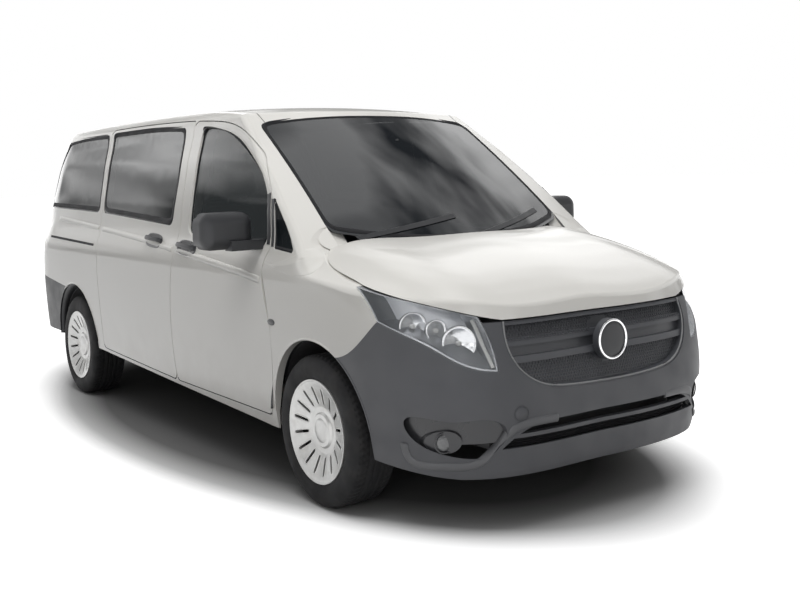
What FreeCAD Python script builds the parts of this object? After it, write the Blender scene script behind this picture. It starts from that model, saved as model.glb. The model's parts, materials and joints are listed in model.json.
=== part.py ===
import FreeCAD
import Part
import math
import os

V = FreeCAD.Vector

# Overall sizes. x runs forward from the middle of the length, y to the left, z up from the ground.
overall_length = 5140.0
body_width = 1928.0
body_height = 1885.0
wheelbase = 3200.0
front_overhang = 895.0
front_track = 1666.0
rear_track = 1646.0
half_length = overall_length / 2.0
half_width = body_width / 2.0
front_axle_x = half_length - front_overhang
rear_axle_x = front_axle_x - wheelbase

# Thicknesses and gaps that many pieces share.
wall = 55.0
roof_wall = 45.0
screen_wall = 50.0
front_skin = 30.0
edge_radius = 40.0
shut_gap = 5.5
seat_gap = 0.3
corner_reach_share = 0.49
search_steps = 40
parallel_share = 0.99
running_gap = 0.05
glass_thickness = 5.0
flush_inset = 4.0
door_glass_inset = 13.0
sill_depth = 100.0
door_clearance = 6.0
overrun = 400.0

# Body form, from the lowest plan curve up: share of the height, of the half width,
# of the half length at the nose and of the half length at the tail.
form_shares = (
    (0.101, 0.936, 0.966, 0.965),
    (0.159, 0.957, 0.988, 0.988),
    (0.223, 0.973, 0.997, 0.998),
    (0.276, 0.982, 1.000, 1.000),
    (0.371, 0.995, 0.991, 0.998),
    (0.451, 1.000, 0.976, 0.996),
    (0.504, 0.998, 0.957, 0.993),
    (0.546, 0.990, 0.941, 0.991),
    (0.578, 0.973, 0.932, 0.988),
    (0.610, 0.950, 0.926, 0.984),
    (0.690, 0.918, 0.916, 0.981),
    (0.769, 0.881, 0.908, 0.974),
    (0.849, 0.837, 0.904, 0.963),
    (0.912, 0.794, 0.900, 0.950),
    (0.950, 0.770, 0.898, 0.940),
    (0.976, 0.728, 0.896, 0.931),
    (0.998, 0.655, 0.895, 0.920),
)
nose_start_share = 0.450
tail_start_share = -0.800
nose_steps = 7
tail_steps = 5
nose_power_share = 4.2
tail_length_power_share = 2.5
tail_width_power_share = 5.0
flank_shares = (0.195, -0.058, -0.311, -0.564)
flank_taper_share = 0.012

# Roof line, from tail to windscreen, and its fall at the edge of the roof panel.
roof_shares = (
    (-1.050, 0.976), (-0.915, 0.985), (-0.661, 0.995), (-0.389, 1.000), (-0.117, 1.000),
    (0.078, 0.997), (0.233, 0.982), (0.350, 0.957), (0.661, 0.850),
)
roof_panel_half_width = 655.0
roof_fall = 26.0
form_reach_share = 1.14
across_shares = (-1.0, -0.64, -0.32, 0.0, 0.32, 0.64, 1.0)

# Windscreen: centre line from the cowl to the header, its bow and its sweep across the width.
screen_base_x = 1690.0
screen_base_z = 1170.0
screen_top_x = 830.0
screen_top_z = 1795.0
screen_bow = 30.0
screen_sweep = 150.0
screen_across_shares = (
    (-1.0, 1.28), (-0.64, 0.88), (-0.32, 0.22), (0.0, 0.0), (0.32, 0.22), (0.64, 0.88), (1.0, 1.28),
)
screen_level_shares = (0.0, 0.32, 0.53, 0.69, 0.85, 1.0, 1.12)

# Bonnet: its centre line from the windscreen to the nose, and how it falls off to the shoulders.
bonnet_shares = (
    (0.428, 0.6615), (0.623, 0.6302), (0.739, 0.604), (0.837, 0.569), (0.914, 0.529), (0.965, 0.490),
    (1.012, 0.440),
)
bonnet_across_shares = (-1.0, -0.94, -0.85, -0.7, -0.45, 0.0, 0.45, 0.7, 0.85, 0.94, 1.0)
bonnet_crown = 25.0
bonnet_shoulder = 924.0
bonnet_crown_share = 0.70
bonnet_shoulder_share = 0.62
cabin_edge_low_share = 0.48
cabin_edge_high_share = 0.99
cabin_edge_length_share = 0.15
bonnet_edge_low_share = 0.45
bonnet_edge_length_share = 0.35
bonnet_edge_rear_share = 0.44
bonnet_reach_share = 1.03

# Lines on the flank in side view, as shares of the half length and of the height. Each row of an
# outline is one smooth run, and a corner lies where two runs meet.
sill_low_shares = ((0.498, 0.150), (-0.440, 0.193))
door_edge_shares = ((0.488, 0.179), (0.513, 0.345), (0.511, 0.410), (0.4825, 0.548), (0.494, 0.602))
door_bar_shares = ((0.494, 0.602), (0.4635, 0.745))
door_roof_shares = (
    (0.4635, 0.745), (0.430, 0.790), (0.348, 0.874), (0.261, 0.925), (0.160, 0.948), (0.037, 0.958),
)
pillar_line_shares = ((0.061, 0.182), (0.064, 0.450), (0.074, 0.637), (0.058, 0.796), (0.037, 0.958))
sliding_top_shares = ((0.037, 0.958), (-0.200, 0.965), (-0.494, 0.963))
sliding_rear_shares = ((-0.494, 0.963), (-0.452, 0.786), (-0.413, 0.577), (-0.400, 0.440), (-0.396, 0.203))
front_glass_shares = (
    ((0.452, 0.733), (0.418, 0.784), (0.340, 0.850), (0.262, 0.897), (0.170, 0.925), (0.083, 0.934)),
    ((0.083, 0.934), (0.103, 0.800), (0.119, 0.632)),
    ((0.119, 0.632), (0.170, 0.604), (0.235, 0.594), (0.350, 0.596), (0.479, 0.603)),
    ((0.479, 0.603), (0.452, 0.733)),
)
sliding_glass_shares = (
    ((0.030, 0.641), (0.024, 0.800), (-0.006, 0.940)),
    ((-0.006, 0.940), (-0.200, 0.949), (-0.473, 0.948)),
    ((-0.473, 0.948), (-0.440, 0.800), (-0.418, 0.670)),
    ((-0.418, 0.670), (-0.194, 0.656), (0.030, 0.641)),
)
quarter_glass_shares = (
    ((-0.443, 0.670), (-0.465, 0.800), (-0.503, 0.948)),
    ((-0.503, 0.948), (-0.700, 0.945), (-0.830, 0.936)),
    ((-0.830, 0.936), (-0.880, 0.820), (-0.900, 0.682)),
    ((-0.900, 0.682), (-0.700, 0.678), (-0.443, 0.670)),
)
triangle_glass_shares = (
    ((0.508, 0.602), (0.481, 0.728)),
    ((0.481, 0.728), (0.540, 0.658), (0.585, 0.594)),
    ((0.585, 0.594), (0.508, 0.602)),
)
fender_seam_shares = ((0.4865, 0.572), (0.560, 0.568), (0.625, 0.593))
bonnet_line_shares = (
    (0.575, 0.650), (0.610, 0.604), (0.677, 0.566), (0.772, 0.536), (0.859, 0.512), (0.912, 0.493),
    (0.961, 0.463), (1.000, 0.4605), (1.090, 0.460),
)
bonnet_corner = 3
lamp_rear_shares = ((0.772, 0.536), (0.796, 0.507), (0.823, 0.460))
bumper_edge_shares = ((0.823, 0.460), (0.803, 0.432), (0.764, 0.388), (0.700, 0.369))
bumper_low_shares = ((0.700, 0.165), (0.934, 0.129))
lamp_low_shares = (
    (0.823, 0.460), (0.862, 0.441), (0.911, 0.411), (0.959, 0.366), (0.985, 0.357), (1.090, 0.352),
)
rear_bumper_shares = ((-0.600, 0.384), (-0.669, 0.391), (-0.838, 0.412), (-0.900, 0.418), (-1.090, 0.420))
tail_lamp_shares = (
    ((-0.946, 0.470), (-0.953, 0.640), (-0.928, 0.770)),
    ((-0.928, 0.770), (-1.090, 0.775)),
    ((-1.090, 0.775), (-1.090, 0.455)),
    ((-1.090, 0.455), (-0.946, 0.470)),
)

# Lines seen from the front or the rear, right half from top to bottom, as shares of the half width
# and of the height.
screen_side_shares = ((-0.7185, 0.930), (-0.762, 0.642))
screen_top_shares = ((0.7185, 0.930), (0.400, 0.948), (0.0, 0.954), (-0.400, 0.948), (-0.7185, 0.930))
screen_low_shares = ((-0.762, 0.642), (-0.400, 0.614), (0.0, 0.608), (0.400, 0.614), (0.762, 0.642))
lamp_inner_shares = ((-0.664, 0.500), (-0.652, 0.480), (-0.633, 0.446), (-0.614, 0.400), (-0.612, 0.330))
grille_side_shares = (
    (-0.558, 0.4595), (-0.563, 0.405), (-0.520, 0.357), (-0.430, 0.323), (-0.300, 0.309), (0.0, 0.303),
)
intake_shares = (
    (-0.625, 0.176), (-0.560, 0.212), (-0.470, 0.236), (-0.340, 0.245), (0.340, 0.245), (0.470, 0.236),
    (0.560, 0.212), (0.625, 0.176), (0.580, 0.164), (-0.580, 0.164),
)
fog_recess_shares = (
    (-0.640, 0.180), (-0.800, 0.186), (-0.872, 0.215), (-0.885, 0.262), (-0.800, 0.258), (-0.690, 0.262),
    (-0.600, 0.246), (-0.585, 0.215),
)
tailgate_side_shares = (
    (-0.640, 1.050), (-0.642, 0.980), (-0.668, 0.800), (-0.700, 0.590), (-0.706, 0.480), (-0.700, 0.292),
)
tailgate_glass_shares = (
    ((0.565, 0.930), (0.600, 0.780), (0.622, 0.660)),
    ((0.622, 0.660), (0.0, 0.652), (-0.622, 0.660)),
    ((-0.622, 0.660), (-0.600, 0.780), (-0.565, 0.930)),
    ((-0.565, 0.930), (0.0, 0.940), (0.565, 0.930)),
)


def row_points(shares, x_size=half_length, z_size=body_height):
    """Points of an outline from its shares of two sizes."""
    return [(a * x_size, b * z_size) for a, b in shares]


def face_points(shares):
    """Points of an outline seen from the front, as (y, z)."""
    return row_points(shares, half_width, body_height)


def offset_points(points, amount):
    """A closed outline with every side moved out by an amount, or in where it is negative."""
    area = 0.0
    count = len(points)
    for i in range(count):
        a = points[i]
        b = points[(i + 1) % count]
        area += a[0] * b[1] - b[0] * a[1]
    sign = 1.0 if area > 0 else -1.0
    moved = []
    for i in range(count):
        a = points[i - 1]
        b = points[i]
        c = points[(i + 1) % count]
        first = (b[0] - a[0], b[1] - a[1])
        second = (c[0] - b[0], c[1] - b[1])
        n1 = (sign * first[1] / math.hypot(*first), -sign * first[0] / math.hypot(*first))
        n2 = (sign * second[1] / math.hypot(*second), -sign * second[0] / math.hypot(*second))
        spread = 1.0 + n1[0] * n2[0] + n1[1] * n2[1]
        moved.append((b[0] + amount * (n1[0] + n2[0]) / spread, b[1] + amount * (n1[1] + n2[1]) / spread))
    return moved


def rounded_wire(points, radius):
    """A closed wire of straight sides with an arc at each corner, as large as its sides allow."""
    count = len(points)
    arcs = []
    for i in range(count):
        corner = points[i]
        back = points[i - 1] - corner
        ahead = points[(i + 1) % count] - corner
        turn = math.pi - back.getAngle(ahead)
        tangent = math.tan(turn / 2.0)
        reach = min(radius * tangent, corner_reach_share * back.Length, corner_reach_share * ahead.Length)
        back.normalize()
        ahead.normalize()
        middle = back + ahead
        middle.normalize()
        depth = reach / tangent / math.cos(turn / 2.0) - reach / tangent
        arcs.append((corner + back * reach, corner + middle * depth, corner + ahead * reach))
    edges = []
    for i in range(count):
        edges.append(Part.Arc(*arcs[i]).toShape())
        start = arcs[i][2]
        end = arcs[(i + 1) % count][0]
        edges.append(Part.LineSegment(start, end).toShape())
    return Part.Wire(edges)


def run_edges(runs, to_vector):
    """Edges of an outline: a straight edge for a run of two points, a smooth one for more."""
    edges = []
    for run in runs:
        points = [to_vector(*p) for p in run]
        if len(points) == 2:
            edges.append(Part.LineSegment(points[0], points[1]).toShape())
        else:
            curve = Part.BSplineCurve()
            curve.interpolate(Points=points)
            edges.append(curve.toShape())
    return edges


def grown_runs(runs, amount):
    """A closed outline of runs, moved out by an amount."""
    runs = [list(run) for run in runs]
    gap = math.hypot(runs[-1][-1][0] - runs[0][0][0], runs[-1][-1][1] - runs[0][0][1])
    if gap > 0:
        runs.append([runs[-1][-1], runs[0][0]])
    loop = [p for run in runs for p in run[:-1]]
    moved = offset_points(loop, amount)
    moved.append(moved[0])
    result = []
    start = 0
    for run in runs:
        result.append(moved[start:start + len(run)])
        start += len(run) - 1
    return result


def run_prism(runs, grow, to_vector, along, radius=0.0):
    """A solid with an outline of runs, its corners rounded where a radius is given."""
    wire = Part.Wire(run_edges(grown_runs(runs, grow), to_vector))
    solid = Part.Face(wire).extrude(along)
    if radius > 0:
        corners = []
        for edge in solid.Edges:
            if edge.Curve.TypeId != "Part::GeomLine" or abs(edge.Length - along.Length) > seat_gap:
                continue
            if abs(edge.tangentAt(edge.FirstParameter).dot(along)) > parallel_share * along.Length:
                corners.append(edge)
        solid = solid.makeFillet(radius, corners)
    return solid


def side_prism(points, radius, y0, y1):
    """A solid with an (x, z) outline, from y0 to y1."""
    wire = rounded_wire([V(x, y0, z) for x, z in points], radius)
    return Part.Face(wire).extrude(V(0, y1 - y0, 0))


def side_runs(runs, grow, y0, y1, radius=0.0):
    """A solid with an (x, z) outline of runs, from y0 to y1."""
    return run_prism(runs, grow, lambda x, z: V(x, y0, z), V(0, y1 - y0, 0), radius)


def front_runs(runs, grow, x0, x1, radius=0.0):
    """A solid with a (y, z) outline of runs, from x0 to x1."""
    return run_prism(runs, grow, lambda y, z: V(x0, y, z), V(x1 - x0, 0, 0), radius)


def both_sides(run):
    """A run down the right side, carried on up the left side."""
    left = [(-y, z) for y, z in reversed(run)]
    return run + (left[1:] if left[0] == run[-1] else left)


def box(x0, x1, y0, y1, z0, z1):
    """A box between two corners."""
    return Part.makeBox(x1 - x0, y1 - y0, z1 - z0, V(x0, y0, z0))


def mirrored(shape):
    """The same piece on the other side of the vehicle."""
    return shape.mirror(V(0, 0, 0), V(0, 1, 0))


def joined(shapes):
    """Shapes fused into one, without leftover seams."""
    whole = shapes[0]
    if len(shapes) > 1:
        whole = whole.multiFuse(shapes[1:])
    return whole.removeSplitter()


def even_parameters(points, closed=False):
    """Parameters of a smooth curve from the spacing of its points, from 0 to 1."""
    if closed:
        points = points + [points[0]]
    reach = [0.0]
    for a, b in zip(points, points[1:]):
        reach.append(reach[-1] + (b - a).Length)
    return [r / reach[-1] for r in reach]


def plan_points(row, inset, z):
    """Points of one closed plan curve: a blunt nose, nearly straight flanks and a squarer tail."""
    width = row[1] * half_width - inset
    nose = row[2] * half_length - inset
    tail = -row[3] * half_length + inset
    nose_start = nose_start_share * half_length
    tail_start = tail_start_share * half_length
    flank_middle = flank_shares[0] * half_length
    half = []
    for step in range(nose_steps):
        turn = math.radians(90.0 * step / (nose_steps - 1))
        x = nose_start + (nose - nose_start) * abs(math.cos(turn)) ** (2.0 / nose_power_share)
        y = width * abs(math.sin(turn)) ** (2.0 / nose_power_share)
        half.append((x, y))
    for share in flank_shares:
        x = share * half_length
        half.append((x, width * (1.0 - flank_taper_share * ((x - flank_middle) / half_length) ** 2)))
    tail_width = width * (1.0 - flank_taper_share * ((tail_start - flank_middle) / half_length) ** 2)
    for step in range(tail_steps):
        turn = math.radians(90.0 - 90.0 * step / (tail_steps - 1))
        x = tail_start + (tail - tail_start) * abs(math.cos(turn)) ** (2.0 / tail_length_power_share)
        y = tail_width * abs(math.sin(turn)) ** (2.0 / tail_width_power_share)
        half.append((x, y))
    points = [V(x, -y, z) for x, y in half]
    return points + [V(x, y, z) for x, y in reversed(half[1:-1])]


plan_parameters = even_parameters(plan_points(form_shares[len(form_shares) // 2], 0, 0), True)


def plan_wire(row, inset, z):
    """One closed plan curve. All share their parameters, which keeps the loft's surface light."""
    curve = Part.BSplineCurve()
    curve.interpolate(Points=plan_points(row, inset, z), Parameters=plan_parameters, PeriodicFlag=True)
    return Part.Wire([curve.toShape()])


def side_form(inset, open_below=False, row_step=1):
    """The body's flanks, nose and tail as one loft of plan curves."""
    wires = [plan_wire(row, inset, row[0] * body_height) for row in form_shares[::row_step]]
    if open_below:
        wires.insert(0, plan_wire(form_shares[0], inset, form_shares[0][0] * body_height - overrun))
    return Part.makeLoft(wires, True, False)


def spline_reader(points):
    """A smooth line through (x, z) points, read back as z at a given x."""
    curve = Part.BSplineCurve()
    curve.interpolate(Points=[V(x, 0, z) for x, z in points])

    def height(x):
        low = curve.FirstParameter
        high = curve.LastParameter
        for _ in range(search_steps):
            middle = (low + high) / 2.0
            if curve.value(middle).x < x:
                low = middle
            else:
                high = middle
        return curve.value(low).z

    return height


def capped_wire(points, shares, corners):
    """A smooth edge closed by straight edges through the given corners."""
    span = shares[-1] - shares[0]
    curve = Part.BSplineCurve()
    curve.interpolate(Points=points, Parameters=[(s - shares[0]) / span for s in shares])
    path = [points[-1]] + corners + [points[0]]
    edges = [curve.toShape()]
    edges += [Part.LineSegment(a, b).toShape() for a, b in zip(path, path[1:])]
    return Part.Wire(edges)


roof_height = spline_reader(row_points(roof_shares))
bonnet_height = spline_reader(row_points(bonnet_shares))


def roof_form(inset):
    """Everything under the roof surface."""
    reach = form_reach_share * half_width
    wires = []
    for share, _ in roof_shares:
        x = share * half_length
        top = roof_height(x) - inset
        across = [s * reach for s in across_shares]
        points = [V(x, y, top - roof_fall * (y / roof_panel_half_width) ** 2) for y in across]
        wires.append(capped_wire(points, across_shares, [V(x, reach, 0), V(x, -reach, 0)]))
    return Part.makeLoft(wires, True, False)


def screen_x(z):
    """The windscreen's centre line: its x at a height."""
    part = (z - screen_base_z) / (screen_top_z - screen_base_z)
    return screen_base_x + (screen_top_x - screen_base_x) * part + 4.0 * screen_bow * part * (1.0 - part)


def screen_form(inset):
    """Everything behind the windscreen surface."""
    reach = form_reach_share * half_width
    back = -half_length - overrun
    wires = []
    for share in screen_level_shares:
        z = share * body_height
        x = screen_x(z) - inset
        points = [V(x - sweep * screen_sweep, s * reach, z) for s, sweep in screen_across_shares]
        wires.append(capped_wire(points, across_shares, [V(back, reach, z), V(back, -reach, z)]))
    return Part.makeLoft(wires, True, False)


def bonnet_form(inset):
    """Everything under the bonnet surface."""
    reach = bonnet_reach_share * half_width
    wires = []
    for share, _ in bonnet_shares:
        x = share * half_length
        points = []
        for s in bonnet_across_shares:
            past = max(0.0, abs(s) - bonnet_shoulder_share)
            fall = bonnet_crown * (abs(s) / bonnet_crown_share) ** 2 + bonnet_shoulder * past ** 2
            points.append(V(x, s * reach, bonnet_height(x) - inset - fall))
        wires.append(capped_wire(points, bonnet_across_shares, [V(x, reach, 0), V(x, -reach, 0)]))
    return Part.makeLoft(wires, True, False)


side_outer = side_form(0)
side_skin = side_form(front_skin, True, 2)
side_inner = side_form(wall, True, 2)
roof_outer = roof_form(0)
screen_outer = screen_form(0)
bonnet_outer = bonnet_form(0)


def rounded_cabin():
    """The cabin's outer form with its pillars and roof edges rounded."""
    cabin = side_outer.common(roof_outer).common(screen_outer)
    low = cabin_edge_low_share * body_height
    high = cabin_edge_high_share * body_height
    short = cabin_edge_length_share * half_length
    edges = []
    for edge in cabin.Edges:
        bounds = edge.BoundBox
        if edge.Length > short and bounds.ZMin > low and bounds.ZMax < high:
            edges.append(edge)
    return cabin.makeFillet(edge_radius, edges)


def rounded_front():
    """The outer form ahead of the windscreen with its bonnet shoulders rounded."""
    front = side_outer.common(bonnet_outer)
    low = bonnet_edge_low_share * body_height
    short = bonnet_edge_length_share * half_length
    rear = bonnet_edge_rear_share * half_length
    edges = []
    for edge in front.Edges:
        bounds = edge.BoundBox
        if edge.Length > short and bounds.ZMin > low and bounds.XMax > rear:
            edges.append(edge)
    return front, edges


# Flank pieces reach from outside the body in to the edge of the roof panel.
flank_out = -(half_width + wall)
flank_in = -(roof_panel_half_width + shut_gap / 2.0)
arch_radius = 372.0
arch_height = 401.0
rear_arch_radius = 410.0
rear_arch_height = 420.0
arch_centre_z = 345.0
corner_radius = 40.0
pane_radius = 45.0
small_pane_radius = 12.0
sill_height = 545.0
post_half_width = 65.0
post_depth = 44.0
tailgate_line_x = -2335.0
rear_bumper_low_z = 392.0
front_bumper_low_z = 240.0
cowl_gap = 14.0
lamp_depth = 90.0
lamp_rim = 6.0
lamp_gap = 0.9
intake_slots = 3
intake_low_z = 300.0
intake_top_z = 470.0
intake_bar = 16.0

cabin_outer = rounded_cabin()
cabin_inner = side_inner.common(roof_form(roof_wall)).common(screen_form(screen_wall))
front_raw, shoulder_edges = rounded_front()
front_outer = front_raw.makeFillet(edge_radius, shoulder_edges)
front_inner = side_skin.common(bonnet_form(front_skin))
below_all = -overrun
above_all = body_height + overrun
behind_all = -half_length - overrun
ahead_all = half_length + overrun
right_half = box(behind_all, ahead_all, flank_out, flank_in, 0, above_all)
right_shell = cabin_outer.copy().common(right_half).cut(cabin_inner.copy())


def flank_runs(runs, grow=0.0, radius=0.0):
    """A prism through the right flank with a side-view outline of runs."""
    return side_runs(runs, grow, flank_out, flank_in, radius)


def straight_runs(points):
    """Runs of two points round a closed outline."""
    return [[a, b] for a, b in zip(points, points[1:] + points[:1])]


def pane_runs(shares):
    """Side-view runs of an outline written as rows of shares."""
    return [row_points(run) for run in shares]


def door_runs():
    """The front door's outline."""
    return pane_runs((door_edge_shares, door_bar_shares, door_roof_shares, pillar_line_shares[::-1]))


def sliding_runs():
    """The sliding door's outline."""
    return pane_runs((pillar_line_shares, sliding_top_shares, sliding_rear_shares))


def arch_prism(centre_x, radius, height, y0, y1):
    """A wheel arch: an ellipse on straight sides that run down below the body."""
    centre = V(centre_x, y0, arch_centre_z)
    top = centre + V(0, 0, height)
    side = centre + V(radius, 0, 0)
    curve = Part.Ellipse(top, side, centre) if height > radius else Part.Ellipse(side, top, centre)
    oval = Part.Face(Part.Wire([curve.toShape()])).extrude(V(0, y1 - y0, 0))
    leg = box(centre_x - radius, centre_x + radius, y0, y1, below_all, arch_centre_z)
    return oval.fuse(leg)


def front_arch():
    """The right front wheel's opening in the body."""
    return arch_prism(front_axle_x, arch_radius, arch_height, flank_out, flank_in)


def rear_arch():
    """The right rear wheel's opening in the body."""
    return arch_prism(rear_axle_x, rear_arch_radius, rear_arch_height, flank_out, flank_in)


def front_sill_corner():
    """Foot of the shut line between the front door and the fender."""
    return (row_points(door_edge_shares)[0][0], row_points(sill_low_shares)[0][1])


def rear_sill_corner():
    """Rear end of the sill, at the rear wheel arch."""
    return row_points(sill_low_shares)[1]


def fender_runs():
    """Side-view outline of the right fender, up to the bonnet, lamp and bumper."""
    foot = front_sill_corner()
    edge = row_points(door_edge_shares)[:4]
    seam = row_points(fender_seam_shares)
    line = row_points(bonnet_line_shares)[1:bonnet_corner + 1]
    bumper = row_points(bumper_edge_shares)
    return [
        [(front_axle_x, foot[1]), foot],
        [foot, edge[0]],
        edge,
        [edge[-1], seam[0]],
        seam,
        [seam[-1], line[0]],
        line,
        row_points(lamp_rear_shares),
        bumper,
        [bumper[-1], (front_axle_x, foot[1])],
    ]


def rear_bumper_runs(low_z):
    """Side-view outline of the rear bumper, down to a height."""
    top = row_points(rear_bumper_shares)
    back = top[-1][0]
    return [top, [top[-1], (back, low_z)], [(back, low_z), (top[0][0], low_z)]]


def tailgate_prism(grow):
    """Rear-view region of the tailgate, behind its shut line in the roof."""
    side = face_points(tailgate_side_shares)
    left = [(-y, z) for y, z in reversed(side)]
    runs = [side, [side[-1], left[0]], left]
    return front_runs(runs, grow, behind_all, tailgate_line_x + grow, corner_radius)


def tail_lamp_prism(grow):
    """Side-view region of the right tail lamp."""
    return flank_runs(pane_runs(tail_lamp_shares), grow, corner_radius)


def screen_prism(grow):
    """Front-view region of the windscreen."""
    side = face_points(screen_side_shares)
    left = [(-y, z) for y, z in reversed(side)]
    runs = [face_points(screen_top_shares), side, face_points(screen_low_shares), left]
    return front_runs(runs, grow, screen_top_x - screen_sweep - wall, half_length, corner_radius)


def side_band(inset, depth, x0, x1, z0, z1, rows=2):
    """A strip of constant depth that follows the right flank, from an inset inwards."""
    band = box(x0, x1, flank_out, flank_in, z0, z1)
    return side_form(inset, True, rows).common(band).cut(side_form(inset + depth, True, rows))


def side_frame():
    """Right body side: roof rail, pillars, sill and rear quarter, with its doors and panes cut out."""
    foot = front_sill_corner()
    heel = rear_sill_corner()
    lip = row_points(door_edge_shares)[0][1] - foot[1] - shut_gap
    seam = row_points(fender_seam_shares)
    hinge = row_points(door_edge_shares)[3]
    region = [
        [(behind_all, above_all), (behind_all, heel[1])],
        [(behind_all, heel[1]), heel],
        [heel, foot],
        [foot, hinge],
        [hinge, seam[0]],
        seam,
        [seam[-1], (seam[-1][0], above_all)],
        [(seam[-1][0], above_all), (behind_all, above_all)],
    ]
    frame = right_shell.copy().common(flank_runs(region, -seat_gap / 2.0))
    cutters = [
        flank_runs(door_runs(), shut_gap / 2.0, corner_radius),
        flank_runs(sliding_runs(), shut_gap / 2.0, corner_radius),
        flank_runs(pane_runs(quarter_glass_shares), 0, pane_radius),
        flank_runs(pane_runs(triangle_glass_shares), 0, small_pane_radius),
        screen_prism(0),
        tailgate_prism(shut_gap / 2.0),
        tail_lamp_prism(seat_gap),
        flank_runs(rear_bumper_runs(below_all), seat_gap),
        rear_arch(),
        bonnet_prism(shut_gap / 2.0),
    ]
    for cutter in cutters:
        frame = frame.cut(cutter)
    post_x = row_points(pillar_line_shares)[1][0]
    deep = wall + door_clearance
    low_box = flank_runs(straight_runs([heel, foot, (foot[0], foot[1] + lip), (heel[0], heel[1] + lip)]))
    strip = side_outer.copy().common(low_box).cut(side_form(sill_depth, True, 2))
    strip = strip.cut(cutters[0]).cut(cutters[1])
    high_box = flank_runs(straight_runs([heel, foot, (foot[0], sill_height), (heel[0], sill_height)]))
    riser = side_form(deep, True, 2).common(high_box).cut(side_form(sill_depth, True, 2))
    post_rear = post_x - post_half_width
    post_front = post_x + post_half_width
    post = side_band(wall + seat_gap, post_depth, post_rear, post_front, heel[1] + lip, above_all)
    post = post.common(roof_outer.copy())
    return [frame, strip, riser, post]


def front_door():
    """Right front door, with its window cut through."""
    door = right_shell.copy().common(flank_runs(door_runs(), -shut_gap / 2.0, corner_radius))
    door = door.cut(side_form(wall, True, 2))
    return door.cut(flank_runs(pane_runs(front_glass_shares), 0, pane_radius))


def sliding_door():
    """Right sliding door, with its window and the groove of its handle."""
    door = right_shell.copy().common(flank_runs(sliding_runs(), -shut_gap / 2.0, corner_radius))
    return door.cut(flank_runs(pane_runs(sliding_glass_shares), 0, pane_radius))


def side_pane(shares, inset, radius):
    """A pane in the right flank, seated in its opening."""
    hole = flank_runs(pane_runs(shares), -seat_gap, radius)
    return side_form(inset).common(hole).cut(side_form(inset + glass_thickness, True))


def fixed_panes():
    """Right sliding door's, rear quarter's and front corner's panes."""
    return [
        side_pane(sliding_glass_shares, flush_inset, pane_radius),
        side_pane(quarter_glass_shares, flush_inset, pane_radius),
        side_pane(triangle_glass_shares, flush_inset, small_pane_radius),
    ]


def roof_panel():
    """Roof skin from the windscreen to the tailgate, between the roof joints."""
    edge = roof_panel_half_width - shut_gap / 2.0
    low = (screen_base_z + screen_top_z) / 2.0
    slab = box(tailgate_line_x + shut_gap / 2.0, ahead_all, -edge, edge, low, above_all)
    panel = cabin_outer.copy().common(slab).cut(cabin_inner.copy())
    return panel.cut(screen_prism(0)).cut(tailgate_prism(shut_gap / 2.0))


def windscreen():
    """Windscreen pane, curved across its width."""
    pane = screen_form(flush_inset).common(screen_prism(-seat_gap)).common(side_form(edge_radius))
    return pane.cut(screen_form(flush_inset + glass_thickness))


def tailgate():
    """Tailgate, with its window cut through."""
    gate = cabin_outer.copy().common(tailgate_prism(0)).cut(cabin_inner.copy())
    runs = [face_points(run) for run in tailgate_glass_shares]
    window = front_runs(runs, 0, behind_all, tailgate_line_x, corner_radius)
    return gate.cut(window)


def tailgate_glass():
    """Tailgate pane, flush with the tail."""
    runs = [face_points(run) for run in tailgate_glass_shares]
    hole = front_runs(runs, -seat_gap, behind_all, tailgate_line_x, corner_radius)
    return side_form(flush_inset).common(hole).cut(side_form(flush_inset + glass_thickness, True))


def rear_bumper():
    """Rear bumper, round the tail from arch to arch below the lamps."""
    body = side_outer.copy().cut(side_form(wall, True, 2))
    low = row_points(rear_bumper_shares)[0][0]
    body = body.common(box(behind_all, low, flank_out, -flank_out, rear_bumper_low_z, body_height / 2.0))
    region = side_runs(rear_bumper_runs(rear_bumper_low_z), 0, flank_out, -flank_out)
    arches = arch_prism(rear_axle_x, rear_arch_radius, rear_arch_height, flank_out, -flank_out)
    return body.common(region).cut(tailgate_prism(shut_gap / 2.0)).cut(arches)


def tail_lamp():
    """Right tail lamp, at the corner between the flank and the tailgate."""
    lamp = side_outer.copy().common(tail_lamp_prism(0)).cut(side_form(front_skin, True, 2))
    return lamp.cut(tailgate_prism(shut_gap / 2.0))


def bonnet_prism(grow):
    """Side-view region of the bonnet, across the whole width."""
    line = row_points(bonnet_line_shares)
    runs = [
        line[:bonnet_corner + 1],
        line[bonnet_corner:bonnet_corner + 4],
        [line[bonnet_corner + 3], line[bonnet_corner + 4]],
        [line[bonnet_corner + 4], line[-1]],
        [line[-1], (line[-1][0], above_all)],
        [(line[-1][0], above_all), (line[0][0], above_all)],
        [(line[0][0], above_all), line[0]],
    ]
    return side_runs(runs, grow, flank_out, -flank_out)


def bonnet():
    """Bonnet, from the nose to the foot of the windscreen."""
    region = bonnet_prism(-shut_gap / 2.0)
    lid = front_outer.copy().common(region).cut(front_inner.copy())
    edge = screen_half_width + shut_gap
    cowl = box(behind_all, ahead_all, -edge, edge, below_all, above_all)
    lid = lid.cut(screen_form(-cowl_gap).common(cowl))
    flank = box(screen_top_x, ahead_all, flank_out, -edge, screen_base_z / 2.0, above_all)
    corner = cabin_outer.copy().common(region).common(flank).cut(cabin_inner.copy())
    return joined([lid, corner, mirrored(corner)])


def fender():
    """Right front fender, between the door, the bonnet, the lamp and the bumper."""
    panel = front_outer.copy().common(flank_runs(fender_runs(), -seat_gap / 2.0)).cut(front_inner.copy())
    return panel.cut(front_arch()).cut(bonnet_prism(shut_gap / 2.0))


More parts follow.
